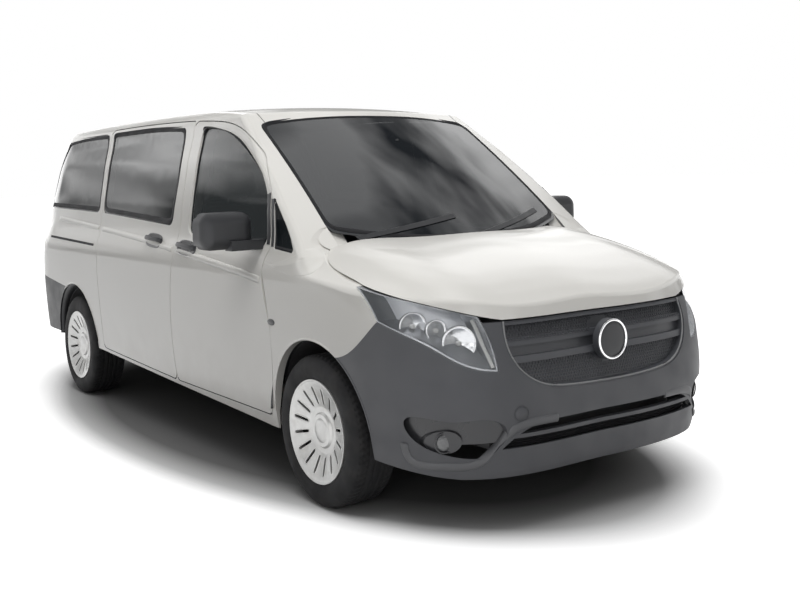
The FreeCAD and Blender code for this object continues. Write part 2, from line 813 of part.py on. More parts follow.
def lamp_runs():
    """Side-view outline of the right headlamp."""
    line = row_points(bonnet_line_shares)[bonnet_corner:]
    low = row_points(lamp_low_shares)
    rear = row_points(lamp_rear_shares)
    return [
        rear,
        low[:5],
        [low[4], low[5]],
        [low[5], (low[5][0], line[-1][1])],
        [(low[5][0], line[-1][1]), line[4]],
        [line[4], line[3]],
        line[:4][::-1],
    ]


def lamp_prism(grow):
    """Region of the right headlamp: its side-view outline, outboard of its inner edge."""
    inner = face_points(lamp_inner_shares)
    outside = flank_out - wall
    runs = [
        inner,
        [inner[-1], (outside, inner[-1][1])],
        [(outside, inner[-1][1]), (outside, above_all)],
        [(outside, above_all), (inner[0][0], above_all)],
        [(inner[0][0], above_all), inner[0]],
    ]
    region = front_runs(runs, grow, front_axle_x, ahead_all)
    return region.common(flank_runs_wide(lamp_runs(), grow))


def flank_runs_wide(runs, grow):
    """A prism with a side-view outline from the right flank to the middle."""
    return side_runs(runs, grow, flank_out, 0)


def headlamp():
    """Right headlamp's clear cover."""
    cover = side_outer.copy().common(lamp_prism(-seat_gap)).cut(side_form(glass_thickness, True))
    return cover.cut(bonnet_prism(shut_gap / 2.0))


def lamp_bowl():
    """Right headlamp's bowl behind its cover."""
    cup = side_form(glass_thickness + lamp_gap).common(lamp_prism(-seat_gap)).cut(side_form(lamp_depth, True))
    hollow = side_outer.copy().common(lamp_prism(-lamp_rim)).cut(side_form(lamp_depth - lamp_rim, True))
    return cup.cut(hollow).cut(bonnet_prism(shut_gap / 2.0))


def grille_prism(grow):
    """Front-view region of the radiator grille."""
    side = face_points(grille_side_shares)
    whole = both_sides(side)
    return front_runs([whole, [whole[-1], whole[0]]], grow, front_axle_x, ahead_all)


def bumper_region():
    """Side-view region of the front bumper, across the whole width."""
    edge = row_points(bumper_edge_shares)
    heel, toe = row_points(bumper_low_shares)
    runs = [
        edge,
        [edge[-1], heel],
        [heel, toe],
        [toe, (ahead_all, toe[1])],
        [(ahead_all, toe[1]), (ahead_all, edge[0][1])],
        [(ahead_all, edge[0][1]), edge[0]],
    ]
    return side_runs(runs, -seat_gap / 2.0, flank_out, -flank_out)


def intake_cutters():
    """Slots of the lower intake, with bars left between them."""
    whole = front_runs([face_points(intake_shares)], 0, front_axle_x, ahead_all)
    slots = []
    pitch = (intake_top_z - intake_low_z) / intake_slots
    for step in range(intake_slots):
        low = intake_low_z + step * pitch + intake_bar / 2.0
        slot = box(front_axle_x, ahead_all, flank_in, -flank_in, low, low + pitch - intake_bar)
        slots.append(whole.common(slot))
    return slots


def front_bumper():
    """Front bumper with its lower intake, its lamp pockets and the opening of the grille."""
    ring = side_outer.copy().cut(side_form(front_skin, True, 2))
    start = row_points(bumper_edge_shares)[-1][0]
    ring = ring.common(box(start, ahead_all, flank_out, -flank_out, front_bumper_low_z, body_height / 2.0))
    shell = ring.common(bumper_region())
    pocket = front_runs([face_points(fog_recess_shares)], 0, front_axle_x, ahead_all)
    cutters = [
        bonnet_prism(shut_gap / 2.0),
        lamp_prism(0),
        mirrored(lamp_prism(0)),
        grille_prism(0),
        arch_prism(front_axle_x, arch_radius, arch_height, flank_out, -flank_out),
        pocket,
        mirrored(pocket),
    ]
    for cutter in cutters + intake_cutters():
        shell = shell.cut(cutter)
    return shell


# Radiator grille.
grille_rim = 14.0
grille_depth = 34.0
grille_front = 3.0
louvre_height = 26.0
louvre_count = 2
louvre_inset = 10.0
louvre_depth = 22.0
louvre_rise = 34.0
mesh_inset = 30.0
mesh_thickness = 3.0
badge_radius = 88.0
badge_depth = 30.0
badge_z = 748.0

# Fog lamps, in the pockets of the front bumper.
fog_radius = 48.0
fog_y = 760.0
fog_z = 396.0
fog_inset = 22.0
fog_depth = 8.0
fog_lens_inset = 12.0

# Underbody: floor, firewall, cowl, rails, wheel housings.
floor_low_z = 505.0
floor_high_z = 545.0
jack_low_z = 300.0
jack_half_size = 40.0
jack_y = 785.0
jack_front_x = 1100.0
jack_rear_x = -400.0
firewall_x = 1400.0
firewall_thickness = 25.0
firewall_half_width = 860.0
shelf_low_z = 1052.0
shelf_thickness = 12.0
cowl_depth = 55.0
cowl_low_z = 1056.0
cowl_high_z = 1180.0
cowl_half_width = 645.0
screen_half_width = 726.0
rail_inner_y = 420.0
rail_outer_y = 500.0
rail_low_z = 420.0
rail_high_z = 515.0
rail_front_x = 2380.0
radiator_thickness = 20.0
radiator_half_width = 540.0
radiator_low_z = 330.0
radiator_high_z = 860.0
buffer_half_width = 30.0
buffer_length = 40.0
housing_radius = 400.0
housing_wall = 8.0
housing_outer_y = 895.0
rear_housing_radius = 385.0
rear_housing_inner_y = 655.0
rear_housing_outer_y = 893.0
striker_half_width = 60.0
striker_top_z = 600.0

# Wheels and tyres.
tyre_radius = 339.65
tyre_width = 225.0
tread_width = 172.0
shoulder_drop = 30.0
bead_radius = 205.0
bead_width = 176.0
bulge_radius = 262.0
rim_wall = 7.0
rim_width = 174.0
disc_offset = 34.0
disc_thickness = 12.0
cover_radius = 231.0
cover_edge_offset = 106.0
cover_centre_offset = 72.0
cover_thickness = 9.0
cover_cap_radius = 72.0
cover_cap_height = 9.0
cover_slots = 16
slot_inner_radius = 118.0
slot_outer_radius = 200.0
slot_width = 13.0
spindle_radius = 30.0
spindle_end_gap = 2.0
hub_radius = 62.0
hub_length = 60.0

# Front suspension: upright on a vertical pivot, held by two arms on each side.
pivot_y = 753.0
upright_half_length = 34.0
upright_inner_y = 722.0
upright_outer_y = 788.0
upright_height = 190.0
pin_radius = 12.0
eye_radius = 26.0
arm_thickness = 30.0
arm_inner_reach = 150.0
arm_half_width = 13.0
spring_y = 618.0
spring_radius = 44.0
crossmember_half_length = 190.0
crossmember_low_z = 200.0

# Rear axle.
beam_radius = 38.0
beam_z = 310.0
trailing_x = -1000.0
trailing_y = 560.0
trailing_half_width = 26.0
rear_spring_y = 560.0
rear_spring_radius = 52.0
rear_upright_half = 60.0
rear_upright_inner_y = 700.0

# Engine, exhaust and tank.
engine_length = 560.0
engine_half_width = 330.0
engine_height = 460.0
engine_rear_x = 1720.0
tank_front_x = 250.0
tank_length = 900.0
tank_inner_y = -120.0
tank_outer_y = -600.0
tank_height = 190.0
tank_radius = 40.0
pipe_radius = 27.0
pipe_y = 330.0
pipe_z = 410.0
pipe_front_x = 1290.0
pipe_rear_x = -2380.0
silencer_front_x = -250.0
silencer_length = 700.0
silencer_radius = 80.0
hanger_width = 30.0

# Cabin.
seat_width = 470.0
seat_cushion_z = 690.0
seat_cushion_height = 150.0
seat_cushion_length = 500.0
seat_back_height = 640.0
seat_back_thickness = 120.0
seat_lean_share = 0.20
seat_edge = 34.0
seat_foot_width = 330.0
seat_foot_length = 360.0
head_width = 250.0
head_height = 160.0
head_thickness = 90.0
head_gap = 40.0
head_post_radius = 7.0
head_post_spread = 70.0
front_seat_x = 330.0
front_seat_y = 410.0
middle_seat_x = -560.0
rear_seat_x = -1500.0
row_seat_gap = 24.0
rear_row_width_share = 0.86
dash_shares = (
    (0.545, 0.560), (0.545, 0.400), (0.500, 0.330), (0.470, 0.330), (0.462, 0.420), (0.400, 0.450), (0.372, 0.510),
    (0.380, 0.556), (0.440, 0.575), (0.480, 0.595),
)
dash_half_width = 800.0
dash_radius = 30.0
steering_y = -410.0
steering_x = 800.0
steering_z = 1030.0
steering_radius = 188.0
steering_grip = 15.0
steering_rake = 28.0
column_radius = 26.0
column_length = 300.0
steering_hub_radius = 62.0
steering_hub_thickness = 36.0

# Door mirrors and wipers.
mirror_x = 1122.0
mirror_y = -1088.0
mirror_z = 1222.0
mirror_length = 126.0
mirror_width = 268.0
mirror_height = 178.0
mirror_edge = 58.0
mirror_foot_x = 1165.0
mirror_foot_length = 70.0
mirror_foot_low_z = 1128.0
mirror_foot_high_z = 1176.0
mirror_pocket_depth = 10.0
mirror_pocket_rim = 12.0
wiper_gap = 0.4
wiper_thickness = 7.0
wiper_shares = (
    ((-0.640, 0.620), (-0.655, 0.628), (-0.055, 0.672), (-0.050, 0.662)),
    ((0.020, 0.612), (0.005, 0.620), (0.610, 0.672), (0.615, 0.662)),
)


def grille():
    """Radiator grille: rim, louvres, mesh panel and a plain round boss."""
    front = side_form(grille_front)
    band = front.common(grille_prism(-seat_gap)).cut(side_form(grille_front + grille_depth, True, 2))
    rim = band.cut(grille_prism(-grille_rim))
    inside = grille_prism(-grille_rim + seat_gap)
    mesh = side_form(mesh_inset).common(inside).cut(side_form(mesh_inset + mesh_thickness, True))
    slats = side_form(louvre_inset).common(inside).cut(side_form(louvre_inset + louvre_depth, True, 2))
    pieces = [rim, mesh]
    middle = (louvre_count - 1) / 2.0
    for step in range(louvre_count):
        low = badge_z + (step - middle) * 2.0 * louvre_rise - louvre_height / 2.0
        band = box(front_axle_x, ahead_all, flank_in, -flank_in, low, low + louvre_height)
        pieces.append(slats.common(band))
    boss_x = half_length - badge_depth - grille_front
    boss = Part.makeCylinder(badge_radius, badge_depth, V(boss_x, 0, badge_z), V(1, 0, 0))
    pieces.append(boss)
    whole = pieces[0].multiFuse(pieces[1:])
    return whole.cut(bonnet_prism(shut_gap / 2.0))


def fog_lamp():
    """Right fog lamp: a bezel that fills its pocket and a round lens."""
    outline = face_points(fog_recess_shares)
    pocket = front_runs([outline], -seat_gap, front_axle_x, ahead_all)
    bezel = side_form(fog_inset).common(pocket).cut(side_form(fog_inset + fog_depth, True, 2))
    centre = V(front_axle_x, -fog_y, fog_z)
    lens = Part.makeCylinder(fog_radius, half_length - front_axle_x, centre, V(1, 0, 0))
    lens = lens.common(side_form(fog_lens_inset)).cut(side_form(fog_inset + fog_depth, True, 2))
    return joined([bezel, lens])


def half_ring(centre_x, radius, y0, y1, low_z):
    """A wheel housing's curved wall over a wheel, down to a height."""
    outer = radius + housing_wall
    ring = Part.makeCylinder(outer, y1 - y0, V(centre_x, y0, arch_centre_z), V(0, 1, 0))
    ring = ring.cut(Part.makeCylinder(radius, y1 - y0, V(centre_x, y0, arch_centre_z), V(0, 1, 0)))
    return ring.common(box(centre_x - outer, centre_x + outer, y0, y1, low_z, arch_centre_z + outer))


def half_disc(centre_x, radius, y0, y1, low_z):
    """The inner wall of a wheel housing, down to a height."""
    disc = Part.makeCylinder(radius, y1 - y0, V(centre_x, y0, arch_centre_z), V(0, 1, 0))
    return disc.common(box(centre_x - radius, centre_x + radius, y0, y1, low_z, arch_centre_z + radius))


def jack_post(x, y):
    """A post below the floor with a flat foot for a jack."""
    half = jack_half_size
    return box(x - half, x + half, y - half, y + half, jack_low_z, (floor_low_z + floor_high_z) / 2.0)


def floor_pan():
    """Cabin floor with the rear wheel housings, the jacking posts and the tailgate's striker block."""
    plan = side_form(sill_depth + seat_gap, True, 2)
    level = box(behind_all, firewall_x - seat_gap, flank_out, -flank_out, floor_low_z, floor_high_z)
    plate = plan.common(level)
    half = striker_half_width
    striker = box(behind_all, tailgate_line_x, -half, half, floor_low_z, striker_top_z)
    pieces = [striker.common(side_form(wall + seat_gap, True, 2))]
    for side in (-1, 1):
        inner = rear_housing_inner_y * side
        outer = rear_housing_outer_y * side
        y0 = min(inner, outer)
        y1 = max(inner, outer)
        centre = V(rear_axle_x, y0 - wall, arch_centre_z)
        well = Part.makeCylinder(rear_housing_radius, y1 - y0 + 2.0 * wall, centre, V(0, 1, 0))
        beyond = box(behind_all, ahead_all, min(side * rear_housing_inner_y, side * half_width),
                     max(side * rear_housing_inner_y, side * half_width), below_all, above_all)
        plate = plate.cut(well.common(beyond))
        y0 = min(side * rail_outer_y, side * half_width)
        front_reach = housing_radius + housing_wall + seat_gap
        front_width = half_width - rail_outer_y + housing_wall
        front_centre = V(front_axle_x, y0 - (housing_wall if side > 0 else 0), arch_centre_z)
        front_well = Part.makeCylinder(front_reach, front_width, front_centre, V(0, 1, 0))
        plate = plate.cut(front_well)
        y0 = min(inner, outer)
        pieces.append(half_ring(rear_axle_x, rear_housing_radius, y0, y1, floor_low_z))
        wall_y = min(inner, inner - side * housing_wall)
        outer_radius = rear_housing_radius + housing_wall
        pieces.append(half_disc(rear_axle_x, outer_radius, wall_y, wall_y + housing_wall, floor_low_z))
        for x in (jack_front_x, jack_rear_x):
            pieces.append(jack_post(x, side * jack_y))
    return plate.multiFuse(pieces)


def front_structure():
    """Firewall, cowl, front rails, wheel housings, radiator panel and bonnet buffers."""
    y = firewall_half_width
    back = firewall_x + firewall_thickness
    firewall = box(firewall_x, back, -y, y, floor_low_z, shelf_low_z + shelf_thickness)
    firewall = firewall.common(side_form(sill_depth + seat_gap, True, 2))
    inside = side_form(wall + door_clearance, True, 2)
    pieces = []
    shelf_end = screen_x(shelf_low_z) - cowl_depth
    reach = cowl_half_width
    shelf = box(firewall_x, shelf_end, -reach, reach, shelf_low_z, shelf_low_z + shelf_thickness)
    pane_back = flush_inset + glass_thickness + seat_gap
    cowl = screen_form(pane_back).cut(screen_form(pane_back + cowl_depth))
    cowl = cowl.common(box(firewall_x, ahead_all, -reach, reach, cowl_low_z, cowl_high_z))
    shelf = shelf.common(screen_form(pane_back))
    low_bonnet = bonnet_form(front_skin + door_clearance)
    pieces += [shelf.common(low_bonnet), cowl.common(low_bonnet)]
    for side in (-1, 1):
        y0 = min(side * rail_inner_y, side * rail_outer_y)
        y1 = y0 + rail_outer_y - rail_inner_y
        pieces.append(box(firewall_x, rail_front_x, y0, y1, rail_low_z, rail_high_z))
        y0 = min(side * rail_outer_y, side * housing_outer_y)
        y1 = y0 + housing_outer_y - rail_outer_y
        ring = half_ring(front_axle_x, housing_radius, y0, y1, arch_centre_z)
        well = Part.makeCylinder(housing_radius, y1 - y0, V(front_axle_x, y0, arch_centre_z), V(0, 1, 0))
        firewall = firewall.cut(well)
        y0 = min(side * rail_outer_y, side * (rail_outer_y - housing_wall))
        disc = half_disc(front_axle_x, housing_radius + housing_wall, y0, y0 + housing_wall, rail_low_z)
        pieces += [ring.common(inside), disc]
    pieces.append(firewall)
    panel_x = rail_front_x
    half = radiator_half_width
    panel = box(panel_x, panel_x + radiator_thickness, -half, half, radiator_low_z, radiator_high_z)
    under = bonnet_form(front_skin + seat_gap).common(side_form(front_skin + seat_gap, True, 2))
    pieces.append(panel.common(under))
    for side in (-1, 1):
        y = side * (half - buffer_half_width)
        y0 = y - buffer_half_width
        y1 = y + buffer_half_width
        post = box(panel_x - buffer_length, panel_x + radiator_thickness, y0, y1, rail_high_z, above_all)
        pieces.append(post.common(under))
    return joined(pieces)


def tyre(y):
    """A tyre: tread, shoulders and side walls as one turned ring."""
    half = tyre_width / 2.0
    shoulder = tyre_radius - shoulder_drop
    points = [
        V(-bead_width / 2.0, bead_radius, 0),
        V(-half, bulge_radius, 0),
        V(-half, shoulder, 0),
        V(-tread_width / 2.0, tyre_radius, 0),
        V(tread_width / 2.0, tyre_radius, 0),
        V(half, shoulder, 0),
        V(half, bulge_radius, 0),
        V(bead_width / 2.0, bead_radius, 0),
    ]
    return turned(points, y, tyre_radius)


def turned(points, y, z):
    """A profile given as (offset, radius), turned about a wheel's axis."""
    profile = [V(0, y + p.x, z + p.y) for p in points]
    face = Part.Face(Part.makePolygon(profile + [profile[0]]))
    return face.revolve(V(0, y, z), V(0, 1, 0), 360)


def wheel(y):
    """A steel wheel with its cover, the outer side towards +y for a wheel on the left."""
    z = tyre_radius
    out = 1.0 if y > 0 else -1.0
    seat = bead_radius - seat_gap
    half = rim_width / 2.0
    barrel = turned([
        V(-half, seat, 0), V(half, seat, 0), V(half, seat - rim_wall, 0), V(-half, seat - rim_wall, 0),
    ], y, z)
    inner = disc_offset - disc_thickness
    bore = spindle_radius + running_gap
    disc = turned([
        V(out * inner, bore, 0), V(out * disc_offset, bore, 0),
        V(out * disc_offset, seat - rim_wall / 2.0, 0), V(out * inner, seat - rim_wall / 2.0, 0),
    ], y, z)
    hub = turned([
        V(out * (disc_offset - hub_length), bore, 0), V(out * disc_offset, bore, 0),
        V(out * disc_offset, hub_radius, 0), V(out * (disc_offset - hub_length), hub_radius, 0),
    ], y, z)
    edge = cover_edge_offset
    centre = cover_centre_offset
    thick = cover_thickness
    cap = cover_cap_radius
    cover = turned([
        V(out * (centre - thick), 0, 0), V(out * (centre + cover_cap_height), 0, 0),
        V(out * (centre + cover_cap_height), cap, 0), V(out * centre, cap + cover_cap_height, 0),
        V(out * centre, slot_inner_radius - slot_width, 0), V(out * edge, slot_outer_radius + slot_width, 0),
        V(out * (edge + thick / 2.0), cover_radius, 0), V(out * (edge - thick / 2.0), cover_radius, 0),
        V(out * (edge - thick), slot_outer_radius + slot_width, 0),
        V(out * (centre - thick), slot_inner_radius - slot_width, 0),
    ], y, z)
    post = turned([
        V(out * disc_offset, 0, 0), V(out * (centre - thick / 2.0), 0, 0),
        V(out * (centre - thick / 2.0), hub_radius, 0), V(out * disc_offset, hub_radius, 0),
    ], y, z)
    ring = turned([
        V(out * half, seat - rim_wall, 0), V(out * (edge - thick / 2.0), seat - rim_wall, 0),
        V(out * (edge - thick / 2.0), seat, 0), V(out * half, seat, 0),
    ], y, z)
    y0 = min(out * (centre - 2.0 * thick), out * (edge + 2.0 * thick))
    depth = edge - centre + 4.0 * thick
    slots = []
    for step in range(cover_slots):
        half_slot = slot_width / 2.0
        slot = box(-half_slot, half_slot, y + y0, y + y0 + depth, slot_inner_radius, slot_outer_radius)
        slot.rotate(V(0, 0, 0), V(0, 1, 0), 360.0 * (step + 0.5) / cover_slots)
        slot.translate(V(0, 0, z))
        slots.append(slot)
    cover = cover.cut(Part.Compound(slots))
    return joined([barrel, disc, hub, cover, post, ring])


def placed(shape, x):
    """A shape made over x = 0, moved along to its axle."""
    shape.translate(V(x, 0, 0))
    return shape


def spindle(inner, out_y):
    """A stub axle from an upright out to the wheel's disc, over x = 0."""
    y0 = min(inner, out_y)
    return Part.makeCylinder(spindle_radius, abs(out_y - inner), V(0, y0, tyre_radius), V(0, 1, 0))


def knuckle():
    """Right steering knuckle with its stub axle and its two pivot pins."""
    z0 = tyre_radius - upright_height / 2.0
    z1 = z0 + upright_height
    body = box(-upright_half_length, upright_half_length, -upright_outer_y, -upright_inner_y, z0, z1)
    pins = Part.makeCylinder(pin_radius, upright_height + 2.0 * arm_thickness, V(0, -pivot_y, z0 - arm_thickness))
    end = -(front_track / 2.0 + disc_offset - spindle_end_gap)
    return placed(joined([body, pins, spindle(-upright_inner_y, end)]), front_axle_x)


def arm(z0, side):
    """A forked arm from the subframe out to the knuckle's pin."""
    y_inner = side * (rail_outer_y + arm_half_width)
    y_outer = side * pivot_y
    legs = []
    for turn in (-1, 1):
        start = V(turn * arm_inner_reach, y_inner, z0)
        end = V(0, y_outer, z0)
        along = end - start
        across = V(along.y, -along.x, 0)
        across.normalize()
        across = across * arm_half_width
        corners = [start + across, end + across, end - across, start - across]
        legs.append(Part.Face(Part.makePolygon(corners + [corners[0]])).extrude(V(0, 0, arm_thickness)))
    eye = Part.makeCylinder(eye_radius, arm_thickness, V(0, y_outer, z0))
    hole = Part.makeCylinder(pin_radius + running_gap, arm_thickness, V(0, y_outer, z0))
    return joined(legs + [eye]).cut(hole)


def front_subframe():
    """Front crossmember, suspension arms and spring legs."""
    upright_low = tyre_radius - upright_height / 2.0 - seat_gap
    upright_high = tyre_radius + upright_height / 2.0 + seat_gap
    low_arm = upright_low - arm_thickness
    reach = crossmember_half_length
    pieces = [box(-reach, reach, -rail_outer_y, rail_outer_y, crossmember_low_z, low_arm + arm_thickness)]
    side_width = rail_outer_y - rail_inner_y
    for side in (-1, 1):
        pieces += [arm(low_arm, side), arm(upright_high, side)]
        y0 = min(side * rail_inner_y, side * rail_outer_y)
        pieces.append(box(-reach, reach, y0, y0 + side_width, low_arm, rail_low_z - seat_gap))
        top = arch_centre_z + math.sqrt(housing_radius ** 2 - spring_radius ** 2) - seat_gap
        spring = Part.makeCylinder(spring_radius, top - low_arm, V(0, side * spring_y, low_arm))
        spring_in = side * spring_y - spring_radius
        plate = box(-spring_radius, spring_radius, spring_in, spring_in + 2.0 * spring_radius,
                    low_arm, low_arm + arm_thickness)
        pieces += [spring, plate]
        y1 = side * (rail_outer_y + arm_thickness)
        y0 = side * rail_outer_y
        pieces.append(box(-reach, reach, min(y0, y1), max(y0, y1), upright_high, upright_high + arm_thickness))
        pieces.append(box(-reach, reach, min(y0, y1), max(y0, y1), low_arm, upright_high + arm_thickness))
    return placed(joined(pieces), front_axle_x)


def rear_axle():
    """Rear beam with its trailing arms, springs and stub axles."""
    end = rear_upright_inner_y
    pieces = [Part.makeCylinder(beam_radius, 2.0 * end, V(0, -end, beam_z), V(0, 1, 0))]
    run = trailing_x - rear_axle_x
    for side in (-1, 1):
        y = side * trailing_y
        w = trailing_half_width
        pieces.append(box(0, run, y - w, y + w, beam_z - w, beam_z + w))
        pieces.append(box(run - 2.0 * w, run, y - w, y + w, beam_z - w, floor_low_z - seat_gap))
        y = side * rear_spring_y
        r = rear_spring_radius
        pieces.append(Part.makeCylinder(r, floor_low_z - seat_gap - beam_z, V(0, y, beam_z)))
        near = side * end
        far = side * (rear_track / 2.0 - tyre_width / 4.0)
        block = rear_upright_half
        low = tyre_radius - block
        pieces.append(box(-block, block, min(near, far), max(near, far), low, low + 2.0 * block))
        pieces.append(spindle(near, side * (rear_track / 2.0 + disc_offset - spindle_end_gap)))
    return placed(joined(pieces), rear_axle_x)


def engine_block():
    """Engine and gearbox as one plain block."""
    y = engine_half_width
    rear = engine_rear_x
    top = crossmember_top()
    return box(rear, rear + engine_length, -y, y, top + seat_gap, top + engine_height)


def crossmember_top():
    """Top of the front crossmember."""
    return tyre_radius - upright_height / 2.0 - seat_gap


def fuel_tank():
    """Fuel tank under the floor."""
    top = floor_low_z - seat_gap
    block = box(tank_front_x - tank_length, tank_front_x, tank_outer_y, tank_inner_y, top - tank_height, top)
    return block.makeFillet(tank_radius, [e for e in block.Edges if e.BoundBox.ZMax < top - seat_gap])


def exhaust():
    """Exhaust pipe with its silencer, hung from the floor."""
    along = V(1, 0, 0)
    pipe = Part.makeCylinder(pipe_radius, pipe_front_x - pipe_rear_x, V(pipe_rear_x, pipe_y, pipe_z), along)
    silencer_rear = V(silencer_front_x - silencer_length, pipe_y, pipe_z)
    silencer = Part.makeCylinder(silencer_radius, silencer_length, silencer_rear, along)
    pieces = [pipe, silencer]
    hanger_xs = (
        pipe_front_x - hanger_width, silencer_front_x - silencer_length / 2.0, rear_axle_x - arch_radius,
    )
    for x in hanger_xs:
        pieces.append(box(x - hanger_width, x, pipe_y - hanger_width / 2.0, pipe_y + hanger_width / 2.0,
                          pipe_z, floor_low_z - seat_gap))
    return joined(pieces)


def cushion_block(x, y, length, width, z0, z1):
    """A soft block about a middle line, its long edges rounded."""
    x0 = x - length / 2.0
    x1 = x + length / 2.0
    return side_prism([(x0, z0), (x1, z0), (x1, z1), (x0, z1)], seat_edge, y - width / 2.0, y + width / 2.0)


def seat(x, y, width):
    """One seat facing forward: foot, cushion, leaning back and head rest."""
    low = seat_cushion_z
    top = low + seat_back_height
    back_x = x - seat_cushion_length / 2.0
    cushion = cushion_block(x, y, seat_cushion_length, width, low, low + seat_cushion_height)
    back = cushion_block(back_x, y, seat_back_thickness, width, low, top)
    head = cushion_block(back_x, y, head_thickness, head_width, top + head_gap, top + head_gap + head_height)
    posts = []
    for side in (-1, 1):
        foot = V(back_x, y + side * head_post_spread, top - seat_edge)
        posts.append(Part.makeCylinder(head_post_radius, head_gap + 2.0 * seat_edge, foot))
    lean = math.degrees(math.atan(seat_lean_share))
    upper = [back, head] + posts
    for piece in upper:
        piece.rotate(V(back_x, 0, low), V(0, 1, 0), -lean)
    foot = box(0, seat_foot_length, 0, seat_foot_width, floor_high_z + seat_gap, low + seat_edge)
    foot.translate(V(x - seat_foot_length / 2.0, y - seat_foot_width / 2.0, 0))
    return joined([cushion, foot] + upper)


def front_seats():
    """Driver's and front passenger's seats."""
    return Part.Compound([seat(front_seat_x, side * front_seat_y, seat_width) for side in (-1, 1)])


def seat_row(x, width):
    """Three single seats side by side."""
    pitch = width + row_seat_gap
    return Part.Compound([seat(x, step * pitch, width) for step in (-1, 0, 1)])


def dashboard():
    """Dashboard, against the firewall, with the steering column's boss."""
    block = side_prism(row_points(dash_shares), dash_radius, -dash_half_width, dash_half_width)
    block = block.common(box(0, firewall_x - seat_gap, -dash_half_width, dash_half_width, 0, above_all))
    block = block.common(side_form(wall + door_clearance, True, 2))
    return block.cut(column_hole())


def column_axis():
    """Direction of the steering column, from the dashboard up to the driver."""
    rake = math.radians(steering_rake)
    return V(-math.cos(rake), 0, math.sin(rake))


def column_hole():
    """The steering column's bearing in the dashboard."""
    centre = V(steering_x, steering_y, steering_z)
    return Part.makeCylinder(column_radius + running_gap, column_length, centre, column_axis() * -1.0)


def steering_wheel():
    """Steering wheel with its spokes, hub and column."""
    centre = V(steering_x, steering_y, steering_z)
    axis = column_axis()
    corners = [V(steering_radius + steering_grip * math.cos(math.radians(a)), 0, steering_grip * math.sin(math.radians(a)))
               for a in range(0, 360, 45)]
    rim = Part.Face(Part.makePolygon(corners + [corners[0]])).revolve(V(0, 0, 0), V(0, 0, 1), 360)
    rim.Placement = FreeCAD.Placement(centre, FreeCAD.Rotation(V(0, 0, 1), axis))
    hub = Part.makeCylinder(steering_hub_radius, steering_hub_thickness, centre - axis * steering_hub_thickness, axis)
    column = Part.makeCylinder(column_radius, column_length, centre, axis * -1.0)
    pieces = [rim, hub, column]
    thick = steering_grip
    for turn in (0, 90, 180):
        spoke = box(0, steering_radius, -thick, thick, -thick, 0)
        spoke.rotate(V(0, 0, 0), V(0, 0, 1), turn - 90)
        spoke.Placement = FreeCAD.Placement(centre, FreeCAD.Rotation(V(0, 0, 1), axis)).multiply(spoke.Placement)
        pieces.append(spoke)
    return joined(pieces)


def mirror():
    """Right door mirror: foot on the door, housing and the pocket of its glass."""
    length = mirror_length
    x0 = mirror_x - length / 2.0
    y0 = mirror_y - mirror_width / 2.0
    z0 = mirror_z - mirror_height / 2.0
    house = box(x0, x0 + length, y0, y0 + mirror_width, z0, z0 + mirror_height)
    front = [e for e in house.Edges if e.BoundBox.XMax > x0 + seat_gap]
    house = house.makeFillet(mirror_edge, front)
    rim = mirror_pocket_rim
    pocket = box(x0, x0 + mirror_pocket_depth, y0 + rim, y0 + mirror_width - rim, z0 + rim, z0 + mirror_height - rim)
    foot = box(mirror_foot_x - mirror_foot_length / 2.0, mirror_foot_x + mirror_foot_length / 2.0, mirror_y,
               flank_in, mirror_foot_low_z, mirror_foot_high_z)
    return joined([house.cut(pocket), foot]).cut(side_form(-seat_gap))


def wipers():
    """Two wiper arms that lie along the foot of the windscreen."""
    low = flush_inset - wiper_gap
    sheet = screen_form(low - wiper_thickness).cut(screen_form(low))
    arms = []
    for shares in wiper_shares:
        outline = face_points(shares)
        strip = front_runs(straight_runs(outline), 0, screen_top_x, ahead_all)
        arms.append(sheet.common(strip).common(box(screen_top_x, ahead_all, flank_in, -flank_in, cowl_low_z, above_all)))
    return Part.Compound(arms)


def right_and_left(name, shape):
    """A right-hand piece and its mirror image, under their node names."""
    return {name + "_right": shape, name + "_left": mirrored(shape)}


def pair(shape):
    """A right-hand piece and its mirror image as one node."""
    return Part.Compound([shape, mirrored(shape)])


def axle_pieces(kind, make):
    """The four wheels' or tyres' nodes."""
    corners = {
        "front_right": (front_axle_x, -front_track / 2.0),
        "front_left": (front_axle_x, front_track / 2.0),
        "rear_right": (rear_axle_x, -rear_track / 2.0),
        "rear_left": (rear_axle_x, rear_track / 2.0),
    }
    return {kind + "_" + corner: placed(make(y), x) for corner, (x, y) in corners.items()}


nodes = {
    "roof_panel": roof_panel(),
    "windscreen": windscreen(),
    "fixed_side_glass": Part.Compound(fixed_panes() + [mirrored(p) for p in fixed_panes()]),
    "floor_pan": floor_pan(),
    "front_structure": front_structure(),
    "bonnet": bonnet(),
    "radiator_grille": grille(),
    "front_bumper": front_bumper(),
    "headlamps": pair(headlamp()),
    "lamp_bowls": pair(lamp_bowl()),
    "fog_lamps": pair(fog_lamp()),
    "rear_bumper": rear_bumper(),
    "tail_lamps": pair(tail_lamp()),
    "tailgate": tailgate(),
    "tailgate_glass": tailgate_glass(),
    "dashboard": dashboard(),
    "steering_wheel": steering_wheel(),
    "front_seats": front_seats(),
    "middle_seats": seat_row(middle_seat_x, seat_width),
    "rear_seats": seat_row(rear_seat_x, seat_width * rear_row_width_share),
    "front_subframe": front_subframe(),
    "rear_axle": rear_axle(),
    "engine_block": engine_block(),
    "fuel_tank": fuel_tank(),
    "exhaust": exhaust(),
    "wipers": wipers(),
}
nodes.update(right_and_left("side_frame", joined(side_frame())))
nodes.update(right_and_left("front_door", front_door()))
nodes.update(right_and_left("door_glass", side_pane(front_glass_shares, door_glass_inset, pane_radius)))
nodes.update(right_and_left("sliding_door", sliding_door()))
nodes.update(right_and_left("fender", fender()))
nodes.update(right_and_left("door_mirror", mirror()))
nodes.update(right_and_left("knuckle", knuckle()))
